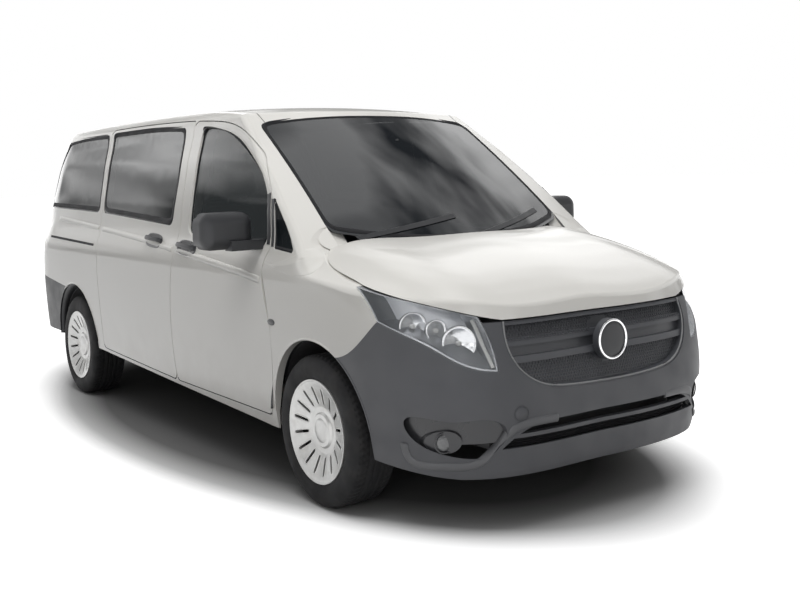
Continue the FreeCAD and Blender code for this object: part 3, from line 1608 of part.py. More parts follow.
nodes.update(axle_pieces("tyre", tyre))
nodes.update(axle_pieces("wheel", wheel))

os.makedirs("parts", exist_ok=True)
for name, shape in nodes.items():
    shape.exportStep("parts/" + name + ".step")
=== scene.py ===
"""Finishes for the minibus and the fine pieces that ride on its CAD bodies."""
import json
import math

import bmesh
import bpy
import numpy as np
from mathutils import Matrix, Vector


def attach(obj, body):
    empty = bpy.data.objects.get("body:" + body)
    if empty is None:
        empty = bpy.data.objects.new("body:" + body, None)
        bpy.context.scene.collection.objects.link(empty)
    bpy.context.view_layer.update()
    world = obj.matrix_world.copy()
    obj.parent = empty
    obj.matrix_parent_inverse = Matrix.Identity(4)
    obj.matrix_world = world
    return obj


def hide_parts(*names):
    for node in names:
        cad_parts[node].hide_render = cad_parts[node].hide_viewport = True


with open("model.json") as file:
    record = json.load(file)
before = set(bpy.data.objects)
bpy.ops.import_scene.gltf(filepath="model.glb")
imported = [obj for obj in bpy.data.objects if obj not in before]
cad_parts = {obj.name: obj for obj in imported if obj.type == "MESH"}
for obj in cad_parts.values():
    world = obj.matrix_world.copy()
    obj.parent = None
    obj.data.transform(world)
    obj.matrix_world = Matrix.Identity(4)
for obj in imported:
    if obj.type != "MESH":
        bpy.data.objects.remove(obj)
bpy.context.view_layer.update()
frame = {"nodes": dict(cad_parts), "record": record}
nodes = frame["nodes"]

# Overall sizes in metres.
half_length = 2.570
half_width = 0.964
height = 1.895
front_axle_x = 1.675
rear_axle_x = -1.525
wheel_z = 0.33965
tracks = {"front": 0.833, "rear": 0.823}
doors = ("door_right", "door_left")

# Camera, fitted to the photograph's 800 by 600 frame.
camera_place = (5.602, -3.282, 1.484)
camera_heading = 55.06
camera_dip = 1.42
camera_roll = -1.62
focal_pixels = 1033.7
centre_pixels = (383.8, 197.3)
frame_pixels = (800.0, 600.0)
sensor = 36.0
far_clip = 200.0


def placed(name, data):
    """A new object with the data, linked to the scene."""
    made = bpy.data.objects.new(name, data)
    bpy.context.scene.collection.objects.link(made)
    return made


def camera_axes():
    """The camera's right, up and forward directions: forward comes from heading and dip, right lies level
    to it, and the roll turns right and up."""
    a, e, r = (math.radians(v) for v in (camera_heading, camera_dip, camera_roll))
    forward = np.array([-math.sin(a) * math.cos(e), math.cos(a) * math.cos(e), -math.sin(e)])
    level = np.cross(forward, [0.0, 0.0, 1.0])
    level /= np.linalg.norm(level)
    above = np.cross(level, forward)
    right = level * math.cos(r) + above * math.sin(r)
    up = above * math.cos(r) - level * math.sin(r)
    return right, up, forward


def make_camera():
    """Puts the camera at the photograph's place, with its shift for the off-centre crop."""
    right, up, forward = camera_axes()
    data = bpy.data.cameras.new("camera")
    data.sensor_width = sensor
    data.lens = focal_pixels * sensor / frame_pixels[0]
    data.shift_x = (frame_pixels[0] / 2.0 - centre_pixels[0]) / frame_pixels[0]
    data.shift_y = (centre_pixels[1] - frame_pixels[1] / 2.0) / frame_pixels[0]
    data.clip_end = far_clip
    camera = placed("camera", data)
    turn = Matrix((right, up, -forward)).transposed().to_4x4()
    camera.matrix_world = Matrix.Translation(Vector(camera_place)) @ turn
    bpy.context.scene.camera = camera


# Materials.

def node(tree, kind, **values):
    """A new shader node with some of its inputs set by name."""
    made = tree.nodes.new("ShaderNode" + kind)
    for key, value in values.items():
        made.inputs[key.replace("_", " ")].default_value = value
    return made


def shader(name, colour, roughness, **sockets):
    """A material whose Principled shader holds the constants, with its nodes and links to build on."""
    made = bpy.data.materials.new(name)
    made.use_nodes = True
    tree = made.node_tree
    principled = tree.nodes["Principled BSDF"]
    principled.inputs["Base Color"].default_value = (*colour, 1.0)
    principled.inputs["Roughness"].default_value = roughness
    for key, value in sockets.items():
        principled.inputs[key.replace("_", " ")].default_value = value
    return made, tree, principled


def noise(tree, scale, detail=4.0, source="Object", stretch=(1.0, 1.0, 1.0)):
    """The value of noise on Texture Coordinates, stretched along the axes."""
    place = node(tree, "TexCoord")
    mapping = node(tree, "Mapping", Scale=stretch)
    made = node(tree, "TexNoise", Scale=scale, Detail=detail)
    tree.links.new(place.outputs[source], mapping.inputs["Vector"])
    tree.links.new(mapping.outputs["Vector"], made.inputs["Vector"])
    return made.outputs["Fac"]


def wave(tree, direction, scale, distortion=0.0):
    """The value of sine bands along one axis of the Object coordinates."""
    made = node(tree, "TexWave", Scale=scale, Distortion=distortion)
    made.bands_direction = direction
    tree.links.new(node(tree, "TexCoord").outputs["Object"], made.inputs["Vector"])
    return made.outputs["Fac"]


def ranged(tree, value, low, high, to_low=0.0, to_high=1.0):
    """A value carried from one range to another and kept inside it."""
    made = node(tree, "MapRange", From_Min=low, From_Max=high, To_Min=to_low, To_Max=to_high)
    tree.links.new(value, made.inputs["Value"])
    return made.outputs["Result"]


def blended(tree, factor, first, second):
    """Mixes two colours, each a socket or a plain colour, by a factor socket."""
    made = tree.nodes.new("ShaderNodeMix")
    made.data_type = "RGBA"
    tree.links.new(factor, made.inputs[0])
    for socket, value in ((made.inputs[6], first), (made.inputs[7], second)):
        if isinstance(value, tuple):
            socket.default_value = (*value, 1.0)
        else:
            tree.links.new(value, socket)
    return made.outputs[2]


def arithmetic(tree, operation, first, second=0.0):
    """One Math node on sockets or numbers."""
    made = tree.nodes.new("ShaderNodeMath")
    made.operation = operation
    for socket, value in zip(made.inputs, (first, second)):
        if isinstance(value, (int, float)):
            socket.default_value = value
        else:
            tree.links.new(value, socket)
    return made.outputs[0]


def product(tree, first, second):
    """Two values multiplied."""
    return arithmetic(tree, "MULTIPLY", first, second)


def total(tree, first, second):
    """Two values added."""
    return arithmetic(tree, "ADD", first, second)


def coordinate(tree, kind, axis):
    """One axis of a Texture Coordinate output, such as Object or Normal."""
    split = node(tree, "SeparateXYZ")
    tree.links.new(node(tree, "TexCoord").outputs[kind], split.inputs[0])
    return split.outputs["XYZ".index(axis)]


def bumped(tree, principled, value, distance, strength=1.0):
    """Feeds a height value to the shader's normal through a Bump node."""
    made = node(tree, "Bump", Distance=distance, Strength=strength)
    tree.links.new(value, made.inputs["Height"])
    tree.links.new(made.outputs["Normal"], principled.inputs["Normal"])


def shade(colour, factor):
    """A colour made darker or lighter by a factor."""
    return tuple(min(1.0, c * factor) for c in colour)


def mottled(tree, principled, colour, scale, amount, detail=4.0):
    """Varies the base colour a little with noise and returns the varied colour's socket."""
    patches = ranged(tree, noise(tree, scale, detail), 0.3, 0.7)
    varied = blended(tree, patches, shade(colour, 1.0 - amount), shade(colour, 1.0 + amount))
    tree.links.new(varied, principled.inputs["Base Color"])
    return varied


def dirt_and_shade_overlay(tree, principled, under_colour, overlay_amount, over_colour):
    """Lays a second colour over the first one where a value is high: dust, rust, bloom and fleck on most
    finishes, and painted shade on the carpet.
    """
    tree.links.new(blended(tree, overlay_amount, under_colour, over_colour), principled.inputs["Base Color"])


def worn(tree, principled, scale, low, high):
    """Lets the roughness wander between two values with noise."""
    rough = ranged(tree, noise(tree, scale, 5.0), 0.3, 0.7, low, high)
    tree.links.new(rough, principled.inputs["Roughness"])


white = (0.80, 0.785, 0.745)
lining = (0.16, 0.16, 0.17)
road_dust = (0.52, 0.48, 0.43)
brake_dust = (0.20, 0.17, 0.14)
rubber_bloom = (0.045, 0.042, 0.039)
rust_brown = (0.20, 0.10, 0.05)
paint_roughness = 0.38
lining_roughness = 0.85
dust_heights = (0.75, 0.25)
belt_height = 1.0


def paint(name, lengthwise=0.12):
    """White paint outside under a clear coat, road dust low down, and grey lining on faces that look into
    the cabin: there the normal's product with the place, its height taken from the belt line, is well
    below zero."""
    made, tree, principled = shader(name, white, paint_roughness, Coat_Weight=0.6, Coat_Roughness=0.06,
                                    IOR=1.45)
    varied = mottled(tree, principled, white, 1.7, 0.012)
    low = ranged(tree, coordinate(tree, "Object", "Z"), *dust_heights, 0.0, 0.30)
    dust = product(tree, low, ranged(tree, noise(tree, 6.0, 6.0), 0.35, 0.75))
    dusty = blended(tree, dust, varied, road_dust)
    outward = product(tree, coordinate(tree, "Normal", "Y"), coordinate(tree, "Object", "Y"))
    above_belt = arithmetic(tree, "SUBTRACT", coordinate(tree, "Object", "Z"), belt_height)
    rise = product(tree, coordinate(tree, "Normal", "Z"), above_belt)
    along = product(tree, coordinate(tree, "Normal", "X"),
                    product(tree, coordinate(tree, "Object", "X"), lengthwise))
    facing = total(tree, total(tree, outward, rise), along)
    inside = ranged(tree, facing, -0.30, -0.36)
    dirt_and_shade_overlay(tree, principled, dusty, inside, lining)
    rough = ranged(tree, inside, 0.0, 1.0, paint_roughness, lining_roughness)
    tree.links.new(rough, principled.inputs["Roughness"])
    bumped(tree, principled, noise(tree, 900.0, 2.0), 0.00002, 0.35)
    return made


def moulded(name, colour, roughness=0.55, grain=0.00012, size=700.0, specular=0.5):
    """Grained plastic: fine pebbled bump, slow colour drift and scuffed gloss."""
    made, tree, principled = shader(name, colour, roughness, Specular_IOR_Level=specular)
    mottled(tree, principled, colour, 3.0, 0.07)
    worn(tree, principled, 9.0, roughness - 0.06, roughness + 0.08)
    bumped(tree, principled, noise(tree, size, 3.0), grain, 0.7)
    return made


def pane(name, tint, cover, roughness=0.015):
    """Tinted glass as a part-clear sheet: its tint and its gloss are a little uneven."""
    made, tree, principled = shader(name, tint, roughness, Alpha=cover, Specular_IOR_Level=1.0, IOR=1.5)
    mottled(tree, principled, tint, 2.2, 0.10)
    worn(tree, principled, 4.0, roughness, roughness + 0.02)
    return made


def ribbed_lens(name, tint, cover, spacing):
    """A lamp lens with level flutes: a sine wave over the height lifts the surface."""
    made, tree, principled = shader(name, tint, 0.06, Alpha=cover, Coat_Weight=0.8, IOR=1.5)
    mottled(tree, principled, tint, 12.0, 0.12)
    bumped(tree, principled, wave(tree, "Z", 1.0 / spacing), 0.002, 0.5)
    return made


def bright(name, colour, roughness, ripple=0.0006):
    """Plated metal with faint ripples and wandering gloss."""
    made, tree, principled = shader(name, colour, roughness, Metallic=1.0)
    mottled(tree, principled, colour, 14.0, 0.05)
    worn(tree, principled, 22.0, roughness * 0.8, roughness * 1.3)
    bumped(tree, principled, noise(tree, 60.0, 2.0), ripple, 0.4)
    return made


def lacquered(name, colour):
    """Silver lacquer on the wheel covers: half metallic under a clear coat, with brake dust in patches."""
    made, tree, principled = shader(name, colour, 0.34, Metallic=0.55, Coat_Weight=0.5, Coat_Roughness=0.12)
    varied = mottled(tree, principled, colour, 30.0, 0.06)
    dust = ranged(tree, noise(tree, 11.0, 6.0), 0.52, 0.80, 0.0, 0.35)
    dirt_and_shade_overlay(tree, principled, varied, dust, brake_dust)
    worn(tree, principled, 18.0, 0.28, 0.44)
    bumped(tree, principled, noise(tree, 1400.0, 2.0), 0.00002, 0.3)
    return made


def rubber(name, colour):
    """Tyre rubber: dusty grey bloom in patches over black, with a fine grain."""
    made, tree, principled = shader(name, colour, 0.82, Specular_IOR_Level=0.35)
    varied = mottled(tree, principled, colour, 7.0, 0.22)
    bloom = ranged(tree, noise(tree, 16.0, 7.0), 0.42, 0.82, 0.0, 0.35)
    dirt_and_shade_overlay(tree, principled, varied, bloom, rubber_bloom)
    worn(tree, principled, 12.0, 0.72, 0.90)
    bumped(tree, principled, noise(tree, 500.0, 4.0), 0.0002, 0.6)
    return made


def cloth(name, colour, thread=0.0022):
    """Woven seat cloth: two crossed sine waves and an upright one make the threads, and noise makes the
    fleck."""
    made, tree, principled = shader(name, colour, 0.92, Sheen_Weight=0.4, Sheen_Roughness=0.5,
                                    Specular_IOR_Level=0.2)
    fleck = ranged(tree, noise(tree, 420.0, 2.0), 0.35, 0.65)
    dirt_and_shade_overlay(tree, principled, shade(colour, 0.72), fleck, shade(colour, 1.35))
    across, along, upright = (wave(tree, direction, 0.16 / thread, 0.4) for direction in "XYZ")
    bumped(tree, principled, total(tree, product(tree, across, along), upright), 0.0005, 0.6)
    return made


def carpet(name, colour):
    """Loop-pile floor covering: one noise makes the tufts' height and their colour, a painted shade that is
    darker in the pile's low hollows and lighter on the high tufts.
    """
    made, tree, principled = shader(name, colour, 0.95, Sheen_Weight=0.3, Specular_IOR_Level=0.15)
    tufts = noise(tree, 380.0, 3.0)
    # Painted shade: the colour follows the tufts' height, darker where the pile is low.
    dirt_and_shade_overlay(tree, principled, shade(colour, 0.6), ranged(tree, tufts, 0.3, 0.7), shade(colour, 1.4))
    bumped(tree, principled, tufts, 0.002, 0.8)
    return made


def rough_metal(name, colour, roughness, metallic=0.6, grain=0.0004, rust=0.15):
    """Cast or rolled metal under the floor, with a sanded grain and brown patches."""
    made, tree, principled = shader(name, colour, roughness, Metallic=metallic)
    varied = mottled(tree, principled, colour, 9.0, 0.15)
    dirt_and_shade_overlay(tree, principled, varied, ranged(tree, noise(tree, 5.0, 7.0), 0.50, 0.85, 0.0, rust), rust_brown)
    worn(tree, principled, 13.0, roughness - 0.1, min(1.0, roughness + 0.1))
    bumped(tree, principled, noise(tree, 260.0, 5.0), grain, 0.7)
    return made


finishes = {
    "body_paint": paint("white_paint"),
    "rear_paint": paint("white_paint_tailgate", 1.0),
    "bumper_paint": moulded("dark_bumper_plastic", (0.088, 0.090, 0.098), 0.52),
    "bumper_lip": moulded("bumper_lip_plastic", (0.125, 0.127, 0.134), 0.45),
    "black_trim": moulded("black_trim_plastic", (0.030, 0.031, 0.034), 0.48),
    "seal_rubber": moulded("seal_rubber", (0.018, 0.018, 0.020), 0.70, 0.0002, 420.0, 0.3),
    "grille": moulded("grille_plastic", (0.080, 0.083, 0.092), 0.42),
    "grille_edge": moulded("grille_edge_plastic", (0.300, 0.305, 0.310), 0.35),
    "clear_glass": pane("screen_glass", (0.010, 0.013, 0.017), 0.80),
    "tinted_glass": pane("tinted_glass", (0.014, 0.018, 0.021), 0.80),
    "door_glass": pane("door_glass", (0.030, 0.040, 0.044), 0.62),
    "lamp_glass": pane("lamp_glass", (0.55, 0.58, 0.60), 0.10),
    "lamp_bowl": bright("lamp_bowl_plating", (0.72, 0.73, 0.75), 0.16, 0.0010),
    "lamp_housing": bright("lamp_housing", (0.36, 0.37, 0.39), 0.34, 0.0004),
    "chrome": bright("chrome_ring", (0.80, 0.80, 0.81), 0.10, 0.0001),
    "mirror_glass": bright("mirror_silver", (0.86, 0.87, 0.88), 0.03, 0.00005),
    "fog_lamp": moulded("fog_lamp_bezel", (0.045, 0.046, 0.050), 0.30),
    "red_lamp": ribbed_lens("red_lamp_lens", (0.42, 0.015, 0.020), 0.90, 0.060),
    "white_lamp": ribbed_lens("light_guide", (0.80, 0.80, 0.78), 0.95, 0.030),
    "fog_lens": ribbed_lens("fog_lens", (0.16, 0.165, 0.17), 1.0, 0.020),
    "chassis": rough_metal("chassis_black", (0.035, 0.035, 0.037), 0.62, 0.2, 0.0003, 0.08),
    "cast": rough_metal("cast_iron", (0.20, 0.20, 0.205), 0.60, 0.7, 0.0008, 0.20),
    "exhaust_steel": rough_metal("exhaust_steel", (0.36, 0.34, 0.32), 0.48, 0.9, 0.0003, 0.35),
    "tank_plastic": moulded("tank_plastic", (0.045, 0.045, 0.046), 0.65, 0.0003, 240.0),
    "tyre": rubber("tyre_rubber", (0.013, 0.013, 0.014)),
    "wheel_silver": lacquered("wheel_silver", (0.56, 0.56, 0.55)),
    "floor_carpet": carpet("floor_carpet", (0.060, 0.060, 0.064)),
    "dash_plastic": moulded("dash_plastic", (0.050, 0.051, 0.056), 0.62, 0.0002, 460.0),
    "seat_fabric": cloth("seat_cloth", (0.105, 0.108, 0.120)),
    "wheel_rim_plastic": moulded("steering_wheel_grip", (0.028, 0.028, 0.031), 0.50, 0.0002, 520.0),
}

# Nodes whose finish isn't the one of their slot in the record.
node_finish = {
    "tailgate": "rear_paint",
    "lamp_bowls": "lamp_housing",
    "door_glass_right": "door_glass",
    "door_glass_left": "door_glass",
}


def finish_nodes():
    """Gives every CAD node its finish."""
    slots = {part["node"]: part["material_slot"] for part in frame["record"]["subparts"]}
    for name, obj in nodes.items():
        obj.data.materials.clear()
        obj.data.materials.append(finishes[node_finish.get(name, slots[name])])


# Surfaces.

def quads(rows, columns, wrap_rows=False, wrap_columns=False):
    """Corner numbers of a grid's faces: each point with its neighbours in the next row and column."""
    r = np.arange(rows if wrap_rows else rows - 1)
    c = np.arange(columns if wrap_columns else columns - 1)
    a, b = np.meshgrid(r, c, indexing="ij")
    a2, b2 = (a + 1) % rows, (b + 1) % columns
    numbers = [a * columns + b, a2 * columns + b, a2 * columns + b2, a * columns + b2]
    return np.stack(numbers, -1).reshape(-1, 4)


def piece(name, points, faces, finish, body="body", slot=None, smooth=True):
    """Puts arrays of points and faces into a mesh, merges points in one place, turns the faces outwards and
    lets it ride on a body. The slot argument is not used."""
    mesh = bpy.data.meshes.new(name)
    mesh.from_pydata(np.asarray(points, float).reshape(-1, 3).tolist(), [], np.asarray(faces).tolist())
    work = bmesh.new()
    work.from_mesh(mesh)
    bmesh.ops.remove_doubles(work, verts=work.verts, dist=1e-6)
    bmesh.ops.recalc_face_normals(work, faces=work.faces)
    work.to_mesh(mesh)
    work.free()
    mesh.polygons.foreach_set("use_smooth", np.full(len(mesh.polygons), smooth))
    mesh.materials.append(finishes[finish])
    obj = placed(name, mesh)
    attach(obj, body)
    return obj


def joined(parts):
    """Several (points, faces) surfaces as one, each part's corner numbers moved past those before it."""
    starts = np.cumsum([0] + [len(p) for p, _ in parts])
    faces = [f + s for s, (_, f) in zip(starts, parts)]
    return np.concatenate([p for p, _ in parts]), np.concatenate(faces)


def mirrored(points):
    """The same points on the vehicle's other side: y changes sign."""
    return points * np.array([1.0, -1.0, 1.0])


def pair(name, surface, finish, bodies="body", slot=None):
    """A right-hand surface and its mirror image: one piece on one body, or one piece on each of two
    bodies."""
    points, faces = surface
    other = (mirrored(points), faces)
    if isinstance(bodies, str):
        piece(name, *joined([surface, other]), finish, bodies, slot)
    else:
        piece(name + "_right", *surface, finish, bodies[0], slot)
        piece(name + "_left", *other, finish, bodies[1], slot)


def slab(top, bottom, wrap=False):
    """A closed sheet between two grids of the same shape: both faces, and walls round their borders."""
    rows, columns = top.shape[:2]
    count = rows * columns
    points = np.concatenate([top.reshape(-1, 3), bottom.reshape(-1, 3)])
    face = quads(rows, columns, wrap)
    index = np.arange(count).reshape(rows, columns)
    sides = [index[:, 0], index[:, -1][::-1]]
    if not wrap:
        sides += [index[0][::-1], index[-1]]
    walls = []
    for side in sides:
        ring = np.append(side, side[0]) if wrap else side
        walls.append(np.stack([ring[:-1], ring[1:], ring[1:] + count, ring[:-1] + count], -1))
    return points, np.concatenate([face, face[:, ::-1] + count] + walls)


def circle(count):
    """Angles evenly spaced round a full turn."""
    return np.linspace(0.0, 2 * math.pi, count, endpoint=False)


def ellipse(count, across, up):
    """Points round an ellipse: (a cos t, b sin t)."""
    t = circle(count)
    return np.stack([across * np.cos(t), up * np.sin(t)], -1)


def squared_oval(count, across, up, across_power, up_power):
    """Points round an oval with full corners: each of (a cos t, b sin t) with its cosine or sine raised to
    a power below one and its sign kept."""
    c, s = np.cos(circle(count)), np.sin(circle(count))
    first = np.sign(c) * np.abs(c) ** across_power * across
    return np.stack([first, np.sign(s) * np.abs(s) ** up_power * up], -1)


def spline(points, count):
    """A Catmull-Rom curve through points: each span blends its four nearest points with the cubic's
    weights."""
    p = np.asarray(points, float)
    if len(p) == 2:
        return p[0] + np.linspace(0.0, 1.0, count)[:, None] * (p[1] - p[0])
    p = np.concatenate([[2 * p[0] - p[1]], p, [2 * p[-1] - p[-2]]])
    at = np.linspace(0.0, len(p) - 3 - 1e-9, count)
    k = at.astype(int)
    t = (at - k)[:, None]
    a, b, c, d = p[k], p[k + 1], p[k + 2], p[k + 3]
    square = (2 * a - 5 * b + 4 * c - d) * t ** 2
    cube = (3 * b - a - 3 * c + d) * t ** 3
    return 0.5 * (2 * b + (c - a) * t + square + cube)


def even(path, count, closed=False):
    """The same line with its points evenly spaced along its length."""
    p = np.concatenate([path, path[:1]]) if closed else path
    along = np.concatenate([[0.0], np.cumsum(np.linalg.norm(np.diff(p, axis=0), axis=1))])
    at = np.linspace(0.0, along[-1], count + 1)[:-1] if closed else np.linspace(0.0, along[-1], count)
    return np.stack([np.interp(at, along, p[:, k]) for k in range(p.shape[1])], -1)


def outline(runs, count, round_to):
    """A closed line of smooth runs, evenly spaced, its corners rounded by averaging neighbours twice."""
    line = even(np.concatenate([spline(run, 40)[:-1] for run in runs]), count, True)
    around = np.linalg.norm(np.diff(line, axis=0, append=line[:1]), axis=1).sum()
    reach = max(1, int(round(round_to / around * count)))
    for _ in range(2):
        line = np.mean([np.roll(line, k, axis=0) for k in range(-reach, reach + 1)], axis=0)
    return line


def inward(line, distance):
    """A closed flat line moved towards its inside along its own normals."""
    along = np.roll(line, -1, axis=0) - np.roll(line, 1, axis=0)
    across = np.stack([-along[:, 1], along[:, 0]], -1)
    across /= np.linalg.norm(across, axis=1)[:, None]
    area = np.sum(line[:, 0] * np.roll(line[:, 1], -1) - np.roll(line[:, 0], -1) * line[:, 1])
    return line + across * distance * (1.0 if area > 0 else -1.0)


def smoothed(values, reach, closed=False):
    """A running mean along a line, which takes out the facets' steps."""
    mode = "wrap" if closed else "edge"
    padded = np.pad(values, ((reach, reach), (0, 0)), mode=mode)
    kernel = np.ones(2 * reach + 1) / (2 * reach + 1)
    return np.stack([np.convolve(padded[:, k], kernel, "valid") for k in range(values.shape[1])], -1)


# Places beyond the vehicle from which its flank, front and back are looked at.
beyond_flank, beyond_front, beyond_back = -1.7, 3.4, -3.4
ray_batch = 60
ray_slack = 1e-6


def triangles(names):
    """Corners of the triangles of some CAD nodes as one array."""
    out = []
    for name in names:
        mesh = nodes[name].data
        mesh.calc_loop_triangles()
        place = np.empty(len(mesh.vertices) * 3)
        mesh.vertices.foreach_get("co", place)
        corner = np.empty(len(mesh.loop_triangles) * 3, int)
        mesh.loop_triangles.foreach_get("vertices", corner)
        out.append(place.reshape(-1, 3)[corner].reshape(-1, 3, 3))
    return np.concatenate(out)


def cast(names, origins, directions):
    """Where rays first meet the nodes, by Moller and Trumbore's test of every ray on every triangle. The
    nearest meeting is kept, and a ray that misses takes its distance from the hits before and after it."""
    tri = triangles(names)
    directions = np.broadcast_to(directions, origins.shape)
    a, u, v = tri[:, 0], tri[:, 1] - tri[:, 0], tri[:, 2] - tri[:, 0]
    normals = np.cross(u, v)
    normals /= np.maximum(np.linalg.norm(normals, axis=1), 1e-12)[:, None]
    best, which = [], []
    batches = len(origins) // ray_batch + 1
    for o, d in zip(np.array_split(origins, batches), np.array_split(directions, batches)):
        h = np.cross(d[:, None], v[None])
        det = np.einsum("rtk,tk->rt", h, u)
        det = np.where(np.abs(det) < 1e-14, np.nan, det)
        s = o[:, None] - a[None]
        first = np.einsum("rtk,rtk->rt", s, h) / det
        q = np.cross(s, u[None])
        second = np.einsum("rtk,rk->rt", q, d) / det
        t = np.einsum("rtk,tk->rt", q, v) / det
        inside = (first > -ray_slack) & (second > -ray_slack) & (first + second < 1 + ray_slack)
        t = np.where(inside & (t > 0), t, np.inf)
        which.append(np.argmin(t, axis=1))
        best.append(np.min(t, axis=1))
    best, which = np.concatenate(best), np.concatenate(which)
    hit = np.isfinite(best)
    number = np.arange(len(best))
    best = np.interp(number, number[hit], best[hit])
    nearest = np.clip(np.searchsorted(number[hit], number), 0, hit.sum() - 1)
    facing = normals[which[hit][nearest]]
    facing = facing * -np.sign(np.einsum("rk,rk->r", facing, directions))[:, None]
    return origins + directions * best[:, None], facing


def laid(names, origins, directions, proud=0.0):
    """Points where rays meet the nodes, standing proud by a distance, with the surface's normals there."""
    place, facing = cast(names, origins, np.asarray(directions))
    return place + facing * proud, facing


def on_flank(line, names, proud=0.0):
    """Points of a side view (x, z) laid on the right flank of some nodes, standing proud by a distance."""
    origins = np.stack([line[:, 0], np.full(len(line), beyond_flank), line[:, 1]], -1)
    return laid(names, origins, (0.0, 1.0, 0.0), proud)


def on_front(line, names, proud=0.0):
    """Points of a front view (y, z) laid on the front of some nodes."""
    origins = np.stack([np.full(len(line), beyond_front), line[:, 0], line[:, 1]], -1)
    return laid(names, origins, (-1.0, 0.0, 0.0), proud)


def on_back(line, names, proud=0.0):
    """Points of a rear view (y, z) laid on the back of some nodes."""
    origins = np.stack([np.full(len(line), beyond_back), line[:, 0], line[:, 1]], -1)
    return laid(names, origins, (1.0, 0.0, 0.0), proud)


def seen(pixels, names):
    """Pixels of the photograph carried along the camera's rays to the nodes."""
    right, up, forward = camera_axes()
    p = np.asarray(pixels, float)
    offset = (p[:, :1] - centre_pixels[0]) * right - (p[:, 1:] - centre_pixels[1]) * up
    ray = forward + offset / focal_pixels
    origins = np.broadcast_to(np.array(camera_place), ray.shape)
    return laid(names, origins, ray / np.linalg.norm(ray, axis=1)[:, None])


def spot(lay, place, names):
    """One place carried to the nodes, with the surface's normal there."""
    points, facing = lay(np.array([place] * 2), names)
    return points[0], facing[0]


def carried(path, facing, profile, closed=False):
    """A profile of (across, up) points carried along a path on a surface: up is the surface's normal, and
    across is the tangent's cross product with it."""
    along = np.roll(path, -1, axis=0) - np.roll(path, 1, axis=0)
    if not closed:
        along[0], along[-1] = path[1] - path[0], path[-1] - path[-2]
    along /= np.linalg.norm(along, axis=1)[:, None]
    up = facing / np.linalg.norm(facing, axis=1)[:, None]
    across = np.cross(along, up)
    across /= np.linalg.norm(across, axis=1)[:, None]
    profile = np.asarray(profile, float)
    return path[:, None] + across[:, None] * profile[None, :, :1] + up[:, None] * profile[None, :, 1:]


def swept(path, facing, profile, closed=False):
    """A closed bead along a path: the profile's ring carried along it, and drawn to its middle at open
    ends."""
    ring = carried(path, smoothed(facing, 2, closed), profile, closed)
    if not closed:
        ends = [np.broadcast_to(ring[k].mean(axis=0), ring[k].shape)[None] for k in (0, -1)]
        ring = np.concatenate([ends[0], ring, ends[1]])
    return ring.reshape(-1, 3), quads(ring.shape[0], ring.shape[1], closed, True)


def bead(width, rise, sink=0.001, steps=9):
    """A half-round profile: x = w/2 cos t, z = rise sin t over the surface, closed a little below it."""
    t = np.linspace(0.0, math.pi, steps)
    over = np.stack([np.cos(t) * width / 2.0, np.sin(t) * rise], -1)
    return np.concatenate([over, [[-width / 2.0, -sink], [width / 2.0, -sink]]])


def turned(profile, centre, axis, steps=48):
    """A profile of (radius, height) points turned about an axis: p = c + r (cos t a + sin t b) + h n. Ends
    at radius zero close on the axis."""
    n = np.asarray(axis, float) / np.linalg.norm(axis)
    a = np.cross(n, [0.0, 0.0, 1.0] if abs(n[2]) < 0.9 else [1.0, 0.0, 0.0])
    a /= np.linalg.norm(a)
    b = np.cross(n, a)
    t = circle(steps)[:, None, None]
    profile = np.asarray(profile, float)
    radius, rise = profile[None, :, :1], profile[None, :, 1:]
    points = np.asarray(centre, float) + radius * (np.cos(t) * a + np.sin(t) * b) + rise * n
    return points.reshape(-1, 3), quads(steps, len(profile), True, False)


def ring_of(profile, centre, axis, steps=48):
    """A closed ring: the profile is itself a closed loop."""
    points, _ = turned(profile, centre, axis, steps)
    return points, quads(steps, len(profile), True, True)


# Rounded boxes: how far a cube's grid is spread before it is cut off at the inner box, so that its outer
# points round the edges, and the widest edge as a share of the thinnest half.
flat_spread = 1.6
widest_edge = 0.98


def rounded_box(size, edge, steps=6):
    """A box with rounded edges: p = inner + e n, where inner is a cube's grid spread over the inner box and
    kept inside it, and n is the grid's direction from the middle."""
    half = np.asarray(size, float) / 2.0
    edge = min(edge, half.min() * widest_edge)
    t = np.linspace(-1.0, 1.0, 2 * steps + 2)
    u, v = np.meshgrid(t, t, indexing="ij")
    face = quads(len(t), len(t))
    parts = []
    for axis in range(3):
        for sign in (-1.0, 1.0):
            cube = np.empty((len(t), len(t), 3))
            cube[..., axis] = sign
            cube[..., (axis + 1) % 3] = u
            cube[..., (axis + 2) % 3] = v
            inner = np.clip(cube * flat_spread, -1.0, 1.0) * (half - edge)
            direction = np.tan(cube * math.pi / 4.0)
            direction /= np.linalg.norm(direction, axis=-1)[..., None]
            parts.append(((inner + edge * direction).reshape(-1, 3), face))
    return joined(parts)


